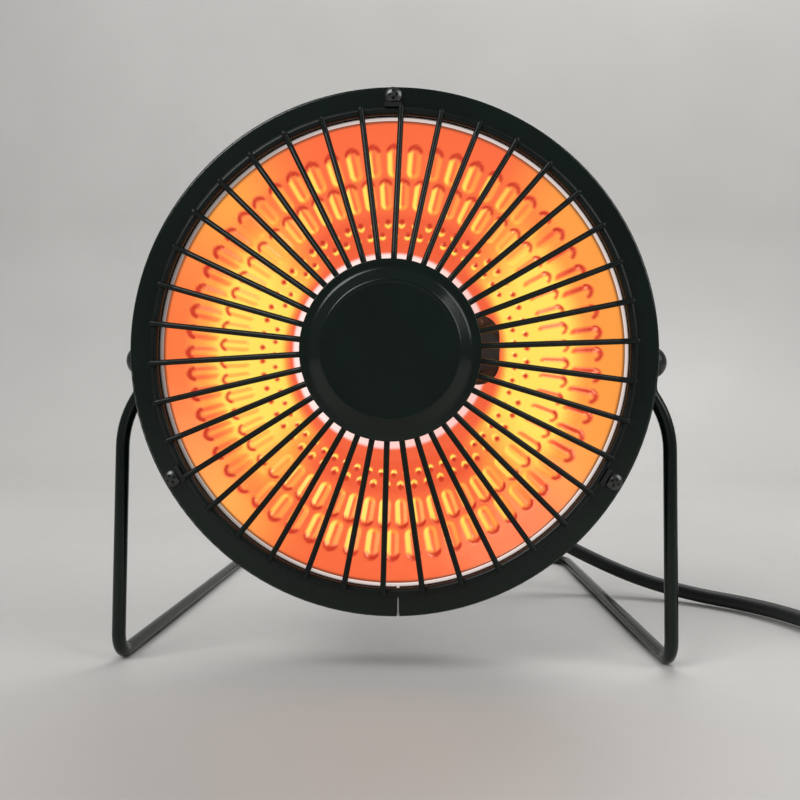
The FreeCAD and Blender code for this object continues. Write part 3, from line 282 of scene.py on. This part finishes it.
PLUG_RELIEF = 0.022
PLUG = Vector((0.030, 0.034, 0.014))
PLUG_TAPER = 0.12
GRIP = Vector((0.0012, 0.0022, 0.0075))
GRIPS, GRIP_START, GRIP_STEP = 5, 0.010, 0.0042
GRIP_X, GRIP_X_STEP = 0.0142, 0.0004
PIN_R, PIN_LENGTH, PIN_X = 0.002, 0.019, 0.0095
SLEEVE_INNER, SLEEVE_OUTER, SLEEVE_LOW, SLEEVE_HIGH = 0.0017, 0.00205, -0.001, 0.0095
plug_mould = surface("plug_mould", (0.009, 0.012, 0.010), 0.55, blotch=90, grain=1600, bump=0.15, spec=0.4)
relief = [(0, 0)] + ribs(0, PLUG_RELIEF * 0.9, 0.0043, 0.0053, 5, 0.0007)
relief += [(0.0055, PLUG_RELIEF + 0.001), (0, PLUG_RELIEF + 0.001)]
plug_block = block(PLUG, 0.0032, 5)
for vertex in plug_block.vertices:
    share = 0.5 - vertex.co.y / PLUG.y
    vertex.co.x *= 1 - PLUG_TAPER * share
    vertex.co.y += PLUG_RELIEF + PLUG.y / 2
grips = []
for side in (-1, 1):
    for i in range(GRIPS):
        grip = block(GRIP, 0.0005, 2)
        grip_x = side * (GRIP_X - GRIP_X_STEP * (GRIPS - 1 - i))
        grip.transform(Matrix.Translation((grip_x, PLUG_RELIEF + GRIP_START + i * GRIP_STEP, 0)))
        grips.append(grip)
pins, sleeves = [], []
for side in (-1, 1):
    pin_foot = Matrix.Translation((side * PIN_X, PLUG_RELIEF + PLUG.y, 0))
    pin = turn(rounded([(0, 0), (PIN_R, 0), (PIN_R, PIN_LENGTH), (0, PIN_LENGTH)], 0.0012), 32)
    pin.transform(pin_foot)
    pins.append(pin)
    sleeve_side = [(SLEEVE_INNER, SLEEVE_LOW), (SLEEVE_OUTER, SLEEVE_LOW),
                   (SLEEVE_OUTER, SLEEVE_HIGH), (SLEEVE_INNER, SLEEVE_HIGH)]
    sleeve = turn(rounded(sleeve_side + sleeve_side[:1], 0.0002), 32)
    sleeve.transform(pin_foot)
    sleeves.append(sleeve)
plug_turn = math.atan2(tail_way.y, tail_way.x) - math.pi / 2
plug_place = Matrix.Translation(plug_base) @ Matrix.Rotation(plug_turn, 4, "Z")
plug_mesh = joined([turn(relief, 40), plug_block, *grips, *sleeves])
pin_mesh = joined(pins)
for mesh in (plug_mesh, pin_mesh):
    mesh.transform(plug_place)
nickel = surface("nickel", (0.72, 0.69, 0.60), 0.25, metal=1.0, vary=0.06, grain=3000, bump=0.02)
plug = add("plug", plug_mesh, plug_mould, "plug_plastic", "stand", "plug_body")
plug_pin_pair = add("plug_pin_pair", pin_mesh, nickel, "pin_metal", "stand", "plug_pins")

# Cord tie: a flat strap of soft black plastic, 6 mm wide, pulled snug round both layers of the coil
# and closed on itself.
TIE_WIDTH = 0.006
TIE_STRAP = 0.0008
TIE_CORNER = 0.0024
TIE_CLEAR = 0.0006
TIE_TURN = 0.75
COIL_LIFT = 0.001
TIE_LINE = COIL_RADIUS - COIL_PITCH * TIE_TURN
TIE_INNER = TIE_LINE - COIL_PITCH * (LAYER_TURNS - 1) - CORD / 2 - TIE_CLEAR
TIE_OUTER = TIE_LINE + CORD / 2 + TIE_CLEAR
TIE_TOP = COIL_LIFT + COIL_PITCH + CORD + TIE_CLEAR / 2


def strap(width):
    """A closed band with rounded corners, in the plane of X and Z."""
    low_x, high_x = TIE_INNER - TIE_STRAP, TIE_OUTER + TIE_STRAP
    high_z = TIE_TOP + TIE_STRAP
    work = bmesh.new()
    bmesh.ops.create_cube(work, size=1)
    bmesh.ops.scale(work, vec=(high_x - low_x, width, high_z), verts=work.verts)
    bmesh.ops.translate(work, vec=((low_x + high_x) / 2, 0, high_z / 2), verts=work.verts)
    open_sides = [face for face in work.faces if abs(face.calc_center_median().y) > width / 4]
    bmesh.ops.delete(work, geom=open_sides, context="FACES_ONLY")
    corners = [edge for edge in work.edges if len(edge.link_faces) == 2]
    bmesh.ops.bevel(work, geom=corners, offset=TIE_CORNER, affect="EDGES", segments=6,
                    profile=0.5, material=-1)
    bmesh.ops.recalc_face_normals(work, faces=work.faces)
    bmesh.ops.solidify(work, geom=work.faces[:], thickness=TIE_STRAP)
    return finished(work, "strap")


tie_mesh = strap(TIE_WIDTH)
tie_place = Matrix.Translation((coil_centre.x, coil_centre.y, 0))
tie_mesh.transform(tie_place @ Matrix.Rotation(coil_entry - math.pi / 2, 4, "Z"))
tie_plastic = surface("tie_plastic", (0.03, 0.03, 0.03), 0.6, grain=2600, bump=0.25)
tie = add("tie", tie_mesh, tie_plastic, "tie_plastic", "stand", "cord_tie")

# Cord gland: a tapered rubber strain relief, moulded with ring grooves so that the cord bends gently
# where it leaves the head. It snaps into a hole in the casing's back.
gland_profile = [(0, 0.029), (0.0064, 0.029), (0.0064, 0.0312), (0.0052, 0.0312), (0.0052, 0.032)]
gland_profile += rounded([(0.0052, 0.032), (0.0075, 0.032), (0.0075, 0.0345), (0.0055, 0.0345)], 0.0008)
gland_profile += ribs(0.0346, 0.059, 0.0055, 0.0044, 6, 0.0007)
gland_profile += [(0.0043, GLAND_END), (0, GLAND_END)]
gland_mesh = turn(gland_profile, 48)
gland_mesh.transform(Matrix.Translation(GLAND))
add("gland", gland_mesh, sheath, "cord_rubber", "head", "cord_gland")


# Stand: one round steel rod, bent cold into two legs and a floor loop. Its ends are flattened and
# pierced for the pivot screws, and it is stoved in gloss black.
def dress(material, *names):
    """A material on CAD nodes that keep their own shape."""
    for name in names:
        nodes[name].data.materials.clear()
        nodes[name].data.materials.append(material)


enamel = surface("black_enamel", (0.0018, 0.0070, 0.0042), 0.2, blotch=45, grain=520, bump=0.05, spec=0.32)
dress(enamel, "stand_wire")

# Tilt pivots: domed blackened screws through the stand's eyes, with fibre friction washers against
# the casing and plated lock nuts inside it.
black_steel = surface("black_steel", (0.018, 0.018, 0.018), 0.3, metal=0.3, grain=1500, bump=0.04)
fibre = surface("fibre", (0.06, 0.05, 0.045), 0.8, grain=2400, bump=0.3)
zinc = surface("zinc", (0.50, 0.50, 0.47), 0.35, metal=1.0, vary=0.12, blotch=220, grain=1800, bump=0.05)
dress(black_steel, "pivot_screw_left", "pivot_screw_right")
dress(fibre, "pivot_washer_left", "pivot_washer_right")
dress(zinc, "pivot_nut_left", "pivot_nut_right")

# Rear casing and front hoop: drawn and rolled steel sheet in the same gloss black enamel. The hoop
# closes with a butt seam at the bottom and clamps the dish's flange against the casing's.
dress(enamel, "rear_casing", "front_hoop")
# The pale grey seam strip is a painted highlight along the hoop's butt seam.
seam_highlight = surface("seam_highlight", (0.42, 0.43, 0.41), 0.45, metal=1.0, vary=0.15, grain=2400, bump=0.1)
SEAM = Vector((0.0007, 0.0006, 0.0064))
SEAM_PLACE = HEAD + Vector((0.0024, -0.0197, -0.0888))
seam_mesh = block(SEAM, 0.0002, 2)
seam_mesh.transform(Matrix.Translation(SEAM_PLACE))
add("hoop_seam", seam_mesh, seam_highlight, "black_paint", "head")

# Reflector: thin polished aluminium, pressed with two rings of radial capsules and rings of dots.
# The upright element's reflection is painted into it as emitted colour, set for one viewpoint: brightest to
# the left and right, redder above and below.
DISH_FLOOR_Y = 0.002
DISH_FLOOR_R = 0.040
DISH_LIP_Y = -0.019
DISH_LIP_R = 0.0803
DISH_EDGE_R = 0.0853
DISH_BULGE = 0.003
DISH_RIBS = 60
DISH_STEPS = 16
RIB_RINGS = ((0.0530, 0.0636, 0.0024, 0.5), (0.0634, 0.0741, 0.0027, 0.0))
DOT_RINGS = ((0.0443, 0.0014, 0.0), (0.0486, 0.0016, 0.5))
DISH_SHEET = 0.0005
LIP_EDGE_R = 0.0808
RIB_HEIGHT = 0.0009
DOT_HEIGHT = 0.0006


def dish_y(r):
    """How far back the plain dish is at a radius."""
    if r <= DISH_FLOOR_R:
        return DISH_FLOOR_Y
    if r >= DISH_LIP_R:
        return DISH_LIP_Y
    start, end = Vector((DISH_FLOOR_R, DISH_FLOOR_Y)), Vector((DISH_LIP_R, DISH_LIP_Y))
    chord = end - start
    radius = chord.length_squared / (8 * DISH_BULGE) + DISH_BULGE / 2
    inward = Vector((chord.y, -chord.x)).normalized()
    centre = (start + end) / 2 + inward * (radius - DISH_BULGE)
    return centre.y + math.sqrt(radius**2 - (r - centre.x) ** 2)


def bump_shape(d):
    """A rounded step from 1 near the middle to 0 at distance 1."""
    t = min(max((1 - d) / 0.85, 0), 1)
    return t * t * (3 - 2 * t)


def relief_at(r, across):
    """The pressed pattern's height at a radius and a share of one pitch round from a capsule, and how
    near that is to the painted shade round a capsule's outer end or in the middle of a dot."""
    height, shade = 0.0, 0.0
    pitch = 2 * math.pi / DISH_RIBS * r
    for low, high, half, phase in RIB_RINGS:
        aside = ((across + phase + 0.5) % 1 - 0.5) * pitch
        along = r - min(max(r, low + half), high - half)
        d = math.hypot(aside, along) / half
        height = max(height, RIB_HEIGHT * bump_shape(d))
        if along > 0:
            # Painted shade: a dark arc round each capsule's outer end.
            shade = max(shade, (1 - min(abs(d - 0.82) / 0.33, 1)) * min(along / (0.35 * half), 1))
    for radius, half, phase in DOT_RINGS:
        aside = ((across + phase + 0.5) % 1 - 0.5) * pitch
        d = math.hypot(aside, r - radius) / half
        height = max(height, DOT_HEIGHT * bump_shape(d))
        # Painted shade in the outer half of each dot.
        d = math.hypot(aside, r - radius - 0.25 * half) / half
        shade = max(shade, 1 - min(d / 0.7, 1))
    return height, shade


# Colours of the painted reflection of the glowing element in the dish, from red to near white, and of the
# painted highlight on the lip.
RED = Vector((0.55, 0.020, 0.006))
ORANGE = Vector((0.93, 0.132, 0.048))
AMBER = Vector((0.95, 0.350, 0.060))
YELLOW = Vector((0.97, 0.760, 0.120))
PAINTED_REFLECTION_WHITE = Vector((1.0, 0.800, 0.770))
LIP_SHINE = Vector((0.62, 0.52, 0.49))
GLOW_STEPS = ((-0.5, RED), (0.0, ORANGE), (0.5, AMBER), (1.0, YELLOW))
# Radii between which one zone of the painted reflection and painted shade passes into the next, from the
# middle outwards
ROD_FADE = (0.022, 0.032)
# The white painted reflection beside the cap is centred off the dish's axis, set for one viewpoint.
STRIP_CENTRE = Vector((-0.0015, 0.0014))
STRIP_FADE = (0.0358, 0.0372)
DOTS_LIT = (0.0385, 0.0430)
CAPSULES_BEGIN = (0.0500, 0.0530)
# Between these radii the painted reflection on the outer capsules dims.
CAPSULES_REFLECTION_FADE = (0.0615, 0.0705)
PLAIN_BEGIN = (0.0705, 0.0755)
# Painted shade just inside the lip.
LIP_DARK = (LIP_EDGE_R - 0.0012, LIP_EDGE_R - 0.0004)
ROD_WIDTH = 0.011


def smooth(low, high, x):
    """A rounded step from 0 at low to 1 at high."""
    t = min(max((x - low) / (high - low), 0), 1)
    return t * t * (3 - 2 * t)


def glow(glow_level):
    """The colour of the element's painted reflection, from red to yellow, by how brightly it is reflected.
    """
    if glow_level <= GLOW_STEPS[0][0]:
        return GLOW_STEPS[0][1]
    for (low, first), (high, second) in zip(GLOW_STEPS, GLOW_STEPS[1:]):
        if glow_level <= high:
            return first.lerp(second, (glow_level - low) / (high - low))
    return GLOW_STEPS[-1][1]


def mirrored(r, angle, climb, flank, shade):
    """The colour of the painted reflection in the dish, with painted highlights and shade from the
    pattern's slopes outwards (climb) and round (flank). The weights are shares of the glow's scale, from 0
    for orange to 1 for yellow, and are given."""
    right = math.cos(angle)
    # The lip gets a painted highlight, dimmer towards the left.
    if r >= LIP_EDGE_R:
        return LIP_SHINE * (0.3 + 0.7 * smooth(-1, 0, right))
    # The painted reflection is brightest in lobes to the left and right.
    lobe = smooth(0.5, 0.95, abs(right))
    up = math.sin(angle)
    to_left = -flank * up
    to_top = -flank * right
    slope = math.hypot(climb, flank)
    # Painted highlights on the plain band, to the upper left and on the right.
    plain = 0.02 + 0.5 * math.exp(-(((right + 0.74) / 0.2) ** 2))
    plain += 0.45 * smooth(0.55, 0.85, right + 0.1 * up)
    # Painted highlights on the capsules' flanks, stronger on those facing left, and painted shade on their
    # flanks in the side lobes.
    capsules = 0.03 + lobe * (1.05 - 0.6 * smooth(*CAPSULES_REFLECTION_FADE, r))
    sides = max(0, to_left) + (0.2 + 0.6 * abs(right)) * max(0, -to_left)
    capsules += (1 - lobe) * (sides + 0.25 * max(0, climb))
    capsules -= lobe * (max(0, to_top) if right > 0 else 0.45 * abs(flank))
    # Painted highlights and shade on the dots: lit on their inner slope, dark on their outer slope.
    dots = lobe * 1.1 * smooth(*DOTS_LIT, r) - 0.1
    dots += (1 - lobe) * 1.2 * max(0, 0.35 * slope + climb)
    dots -= (0.5 + 0.6 * lobe) * max(0, -climb - 0.2 * slope)
    glow_level = dots + (capsules - dots) * smooth(*CAPSULES_BEGIN, r)
    glow_level += (plain - glow_level) * smooth(*PLAIN_BEGIN, r)
    # Painted shade round the capsules' outer ends and in the dots.
    glow_level -= shade * (1.15 + 0.4 * lobe)
    # Painted reflection: a white strip beside the cap, centred off the axis for one viewpoint.
    from_strip = (Vector((r * right, r * up)) - STRIP_CENTRE).length
    strip = 0.72 + 0.28 * smooth(-0.8, 0.6, 0.5 * up - right)
    colour = glow(glow_level).lerp(PAINTED_REFLECTION_WHITE, strip * (1 - smooth(*STRIP_FADE, from_strip)))
    # Painted reflection of the element's rod along the middle, behind the cap.
    behind_rod = glow(0.1 + 0.8 * math.exp(-((r * right / ROD_WIDTH) ** 2)))
    colour = colour.lerp(behind_rod, 1 - smooth(*ROD_FADE, r))
    # Painted shade darkens the sheet just inside the lip.
    return colour * (1 - 0.75 * smooth(*LIP_DARK, r))


@lru_cache(maxsize=None)
def pressed(r, step):
    """How far the pattern lifts the sheet outwards and to the front at a radius and a step of one pitch,
    its slopes outwards and round, and its shade."""
    near = 0.0003
    steepest = 0.5
    run = 2 * near * steepest
    across = step / DISH_STEPS
    height, shade = relief_at(r, across)
    climb = (relief_at(r + near, across)[0] - relief_at(r - near, across)[0]) / run
    turn_by = near * DISH_RIBS / (2 * math.pi * max(r, 0.001))
    flank = (relief_at(r, across + turn_by)[0] - relief_at(r, across - turn_by)[0]) / run
    sloping = DISH_FLOOR_R < r < DISH_LIP_R
    tip = math.atan2(dish_y(r + near) - dish_y(r - near), 2 * near) if sloping else 0
    slopes = max(-1, min(climb, 1)), max(-1, min(flank, 1))
    return height * math.sin(tip), height * math.cos(tip), *slopes, shade


def dish():
    """The sheet: one pitch is spun and copied round, and the pattern is pressed into its front. The glow, a
    painted reflection of the element, is kept per vertex, with the lit part in alpha."""
    # Rows of the front: the floor, the strip beside the cap, the pattern, the plain band and the lip
    front = [0.0, 0.008, 0.016, 0.024, 0.030, 0.0325]
    front += [0.0340 + 0.0005 * i for i in range(11)]
    front += [0.0395 + 0.00055 * i for i in range(66)]
    front += [0.0764, 0.0780]
    front += [DISH_LIP_R - 0.0006, DISH_LIP_R - 0.0003, DISH_LIP_R]
    front += [LIP_EDGE_R - 0.0001, LIP_EDGE_R, DISH_EDGE_R]
    back = [DISH_EDGE_R, DISH_LIP_R, 0.0755, 0.070, 0.063, 0.055, 0.047, DISH_FLOOR_R, 0.0]
    profile = [(r, dish_y(r)) for r in front] + [(r, dish_y(r) + DISH_SHEET) for r in back]
    pitch = 2 * math.pi / DISH_RIBS
    work = spun(profile, pitch, DISH_STEPS)
    sector = work.verts[:] + work.edges[:] + work.faces[:]
    bmesh.ops.spin(work, geom=sector, axis=(0, 1, 0), cent=(0, 0, 0), angle=2 * math.pi - pitch,
                   steps=DISH_RIBS - 1, use_duplicate=True)
    bmesh.ops.remove_doubles(work, verts=work.verts, dist=1e-6)
    layer = work.verts.layers.float_color.new("glow")
    for vertex in work.verts:
        r = round(math.hypot(vertex.co.x, vertex.co.z), 6)
        if vertex.co.y > dish_y(r) + DISH_SHEET / 2:
            continue
        angle = math.atan2(vertex.co.z, vertex.co.x)
        outwards, forwards, *slopes = pressed(r, round(angle / pitch * DISH_STEPS) % DISH_STEPS)
        vertex.co += Vector((outwards * math.cos(angle), -forwards, outwards * math.sin(angle)))
        vertex[layer] = (*mirrored(r, angle, *slopes), 1.0 if r < LIP_EDGE_R else 0.0)
    mesh = finished(work, "dish")
    mesh.transform(Matrix.Translation(HEAD))
    return mesh


polished = surface("polished_dish", (0.92, 0.89, 0.87), 0.3, metal=1.0, vary=0.06, blotch=120, grain=1200,
                   bump=0.03)
# Painted light: where the dish shows the painted reflection, its base colour turns reddish and the painted
# reflection colour is emitted.
LIT_METAL = (0.20, 0.09, 0.05, 1)
tree = polished.node_tree
shader = tree.nodes["Principled BSDF"]
glow_colour = tree.nodes.new("ShaderNodeAttribute")
glow_colour.attribute_name = "glow"
tree.links.new(glow_colour.outputs["Color"], shader.inputs["Emission Color"])
shader.inputs["Emission Strength"].default_value = 1.0
lit_mix = tree.nodes.new("ShaderNodeMixRGB")
lit_mix.inputs["Color2"].default_value = LIT_METAL
patches = shader.inputs["Base Color"].links[0].from_socket
tree.links.new(patches, lit_mix.inputs["Color1"])
tree.links.new(glow_colour.outputs["Alpha"], lit_mix.inputs["Fac"])
tree.links.new(lit_mix.outputs["Color"], shader.inputs["Base Color"])
add("dish", dish(), polished, "reflector", "head", "reflector_dish")

# Heating element: an upright ceramic rod wound with resistance wire, between two ceramic blocks on
# a plated strap that is screwed to the dish's floor.
hot_wire = surface("hot_wire", (0.30, 0.12, 0.06), 0.6, metal=0.8, grain=2600, bump=0.1)
hot_ceramic = surface("hot_ceramic", (0.72, 0.52, 0.40), 0.8, grain=2000, bump=0.2)
HEATED = ((hot_wire, (1.0, 0.30, 0.06, 1), 3.0), (hot_ceramic, (1.0, 0.18, 0.04, 1), 1.2))
for material, colour, strength in HEATED:
    inputs = material.node_tree.nodes["Principled BSDF"].inputs
    inputs["Emission Color"].default_value = colour
    inputs["Emission Strength"].default_value = strength
ceramic = surface("ceramic", (0.74, 0.68, 0.58), 0.7, vary=0.1, grain=1800, bump=0.2)
dress(hot_wire, "heating_coil")
dress(hot_ceramic, "heating_core")
dress(ceramic, "core_holder_top", "core_holder_bottom")
dress(zinc, "core_bracket", "bracket_screws", "bracket_nuts")

# Thermal cut-out: a dark moulded switch that stops the heater when it gets too hot. Its steel flange,
# browned by the heat, is riveted to the dish's floor beside the element.
phenolic = surface("phenolic", (0.035, 0.03, 0.027), 0.55, grain=1500, bump=0.15)
scorched = surface("scorched_steel", (0.11, 0.055, 0.04), 0.5, metal=0.7, vary=0.35, blotch=300, grain=1800)
dress(phenolic, "thermal_cutout")
dress(scorched, "cutout_flange", "cutout_rivets")

# Inner wiring: stranded leads in woven glass sleeves, from the cord's gland to the switch, the
# cut-out and the element. They meet in a ceramic block that is screwed to the casing's back wall.
braid = surface("braid", (0.62, 0.58, 0.50), 0.9, grain=4200, bump=0.6)
dress(braid, "lead_neutral", "lead_live", "lead_switched", "lead_element_top", "lead_element_bottom")
dress(ceramic, "terminal_block")
dress(black_steel, "terminal_screw")

# Guard: straight steel wires spot welded to an outer and an inner ring and dip-coated black, with a
# pressed steel cap over the hub. Each weld leaves a small nugget on the outer ring.
coated = surface("coated_wire", (0.0018, 0.0050, 0.0034), 0.36, vary=0.3, blotch=120, bump=0.06, spec=0.25)
dress(coated, "guard_ring_outer", "guard_ring_inner", "guard_wires")
WIRES = 38
WIRE_ANGLE = math.radians(1.9)
RING_R = 0.0834
WELD = Vector((0.0011, 0.0007, 0.0019))
WELD_Y = -0.0231
WELD_VARY = 0.12
nuggets = []
for i in range(WIRES):
    a = WIRE_ANGLE + 2 * math.pi * i / WIRES
    work = bmesh.new()
    bmesh.ops.create_icosphere(work, subdivisions=2, radius=1)
    nugget = finished(work, "nugget")
    size = 1 + WELD_VARY * math.sin(i * 2.4)
    nugget.transform(Matrix.Diagonal((WELD.x * size, WELD.y, WELD.z * size, 1)))
    nugget.transform(Matrix.Rotation(a, 4, "Y"))
    place = Vector((RING_R * math.sin(a), WELD_Y, RING_R * math.cos(a)))
    nugget.transform(Matrix.Translation(HEAD + place))
    nuggets.append(nugget)
add("guard_welds", joined(nuggets), coated, "guard_black", "head")
CAP_R = 0.0300
cap_back = [(0.0, -0.0416), (0.0221, -0.0416), (0.0261, -0.03815), (CAP_R, -0.03815)]
cap_front = [(CAP_R, -0.03895), (0.0268, -0.03905), (0.0228, -0.04265), (0.0214, -0.0424), (0.0, -0.0424)]
cap_mesh = turn(rounded(cap_back + cap_front, 0.0010, 6), 160)
cap_mesh.transform(Matrix.Translation(HEAD))
add("cap", cap_mesh, enamel, "black_paint", "head", "centre_cap")

# Rim fasteners: three blackened cross-head screws through the hoop, over blued spring-steel clips
# that hold the guard's outer ring.
blued = surface("blued_spring", (0.03, 0.03, 0.032), 0.4, metal=0.8, grain=1500, bump=0.05)
dark_plate = surface("dark_plate", (0.08, 0.085, 0.08), 0.3, metal=1.0, blotch=300, grain=1800, bump=0.04)
dress(dark_plate, "hoop_screws")
dress(blued, "guard_clips")

# Switch: a snap-in rocker switch in the casing's back, a moulded black body with a red rocker that
# tips on pins in its sides.
switch_black = surface("switch_black", (0.015, 0.015, 0.015), 0.35, grain=1400, bump=0.06)
rocker_red = surface("rocker_red", (0.35, 0.015, 0.010), 0.3, vary=0.1, grain=1400, bump=0.05)
dress(switch_black, "switch_body")
dress(rocker_red, "switch_rocker")

# Stage: a pale matt table that curves up into a plain backdrop, and soft studio lamps on both sides
# and behind.
TABLE_FRONT, TABLE_BACK, TABLE_SIDE = -3.0, 0.90, 4.0
BACKDROP_BEND, BACKDROP_TOP = 0.35, 3.0
work = bmesh.new()
sweep = ((TABLE_FRONT, 0), (TABLE_BACK, 0), (TABLE_BACK, BACKDROP_TOP))
points = [work.verts.new((-TABLE_SIDE, y, z)) for y, z in sweep]
side_line = [work.edges.new(ends) for ends in zip(points, points[1:])]
swept = bmesh.ops.extrude_edge_only(work, edges=side_line)["geom"]
far_line = [part for part in swept if isinstance(part, bmesh.types.BMVert)]
bmesh.ops.translate(work, vec=(2 * TABLE_SIDE, 0, 0), verts=far_line)
corner = [edge for edge in work.edges if len(edge.link_faces) == 2]
bmesh.ops.bevel(work, geom=corner, offset=BACKDROP_BEND, affect="EDGES", segments=10,
                profile=0.5, material=-1)
stage_mesh = finished(work, "stage")
for face in stage_mesh.polygons:
    face.use_smooth = True
stage = bpy.data.objects.new("stage", stage_mesh)
bpy.context.scene.collection.objects.link(stage)
table = surface("table", (0.55, 0.54, 0.52), 0.5, vary=0.03, blotch=6, grain=300, bump=0.0)
stage_mesh.materials.append(table)


def lamp(name, place, target, size, power):
    """A soft white lamp that faces a point."""
    light = bpy.data.lights.new(name, "AREA")
    light.shape = "RECTANGLE"
    light.size, light.size_y = size
    light.energy = power
    holder = bpy.data.objects.new(name, light)
    way = Vector(target) - Vector(place)
    holder.matrix_world = Matrix.Translation(place) @ way.to_track_quat("-Z", "Y").to_matrix().to_4x4()
    bpy.context.scene.collection.objects.link(holder)


lamp("key", (-0.9, -1.1, 1.3), (0, 0, 0.1), (0.9, 0.9), 18)
lamp("fill", (1.2, -0.7, 0.9), (0, 0, 0.1), (0.8, 1.0), 8)
lamp("back", (0.2, 0.75, 1.2), (0, 0.1, 0.1), (1.2, 0.5), 10)
world = bpy.data.worlds.new("studio")
bpy.context.scene.world = world
world.use_nodes = True
sky = world.node_tree.nodes["Background"].inputs
sky["Color"].default_value = (0.8, 0.82, 0.85, 1)
sky["Strength"].default_value = 0.3
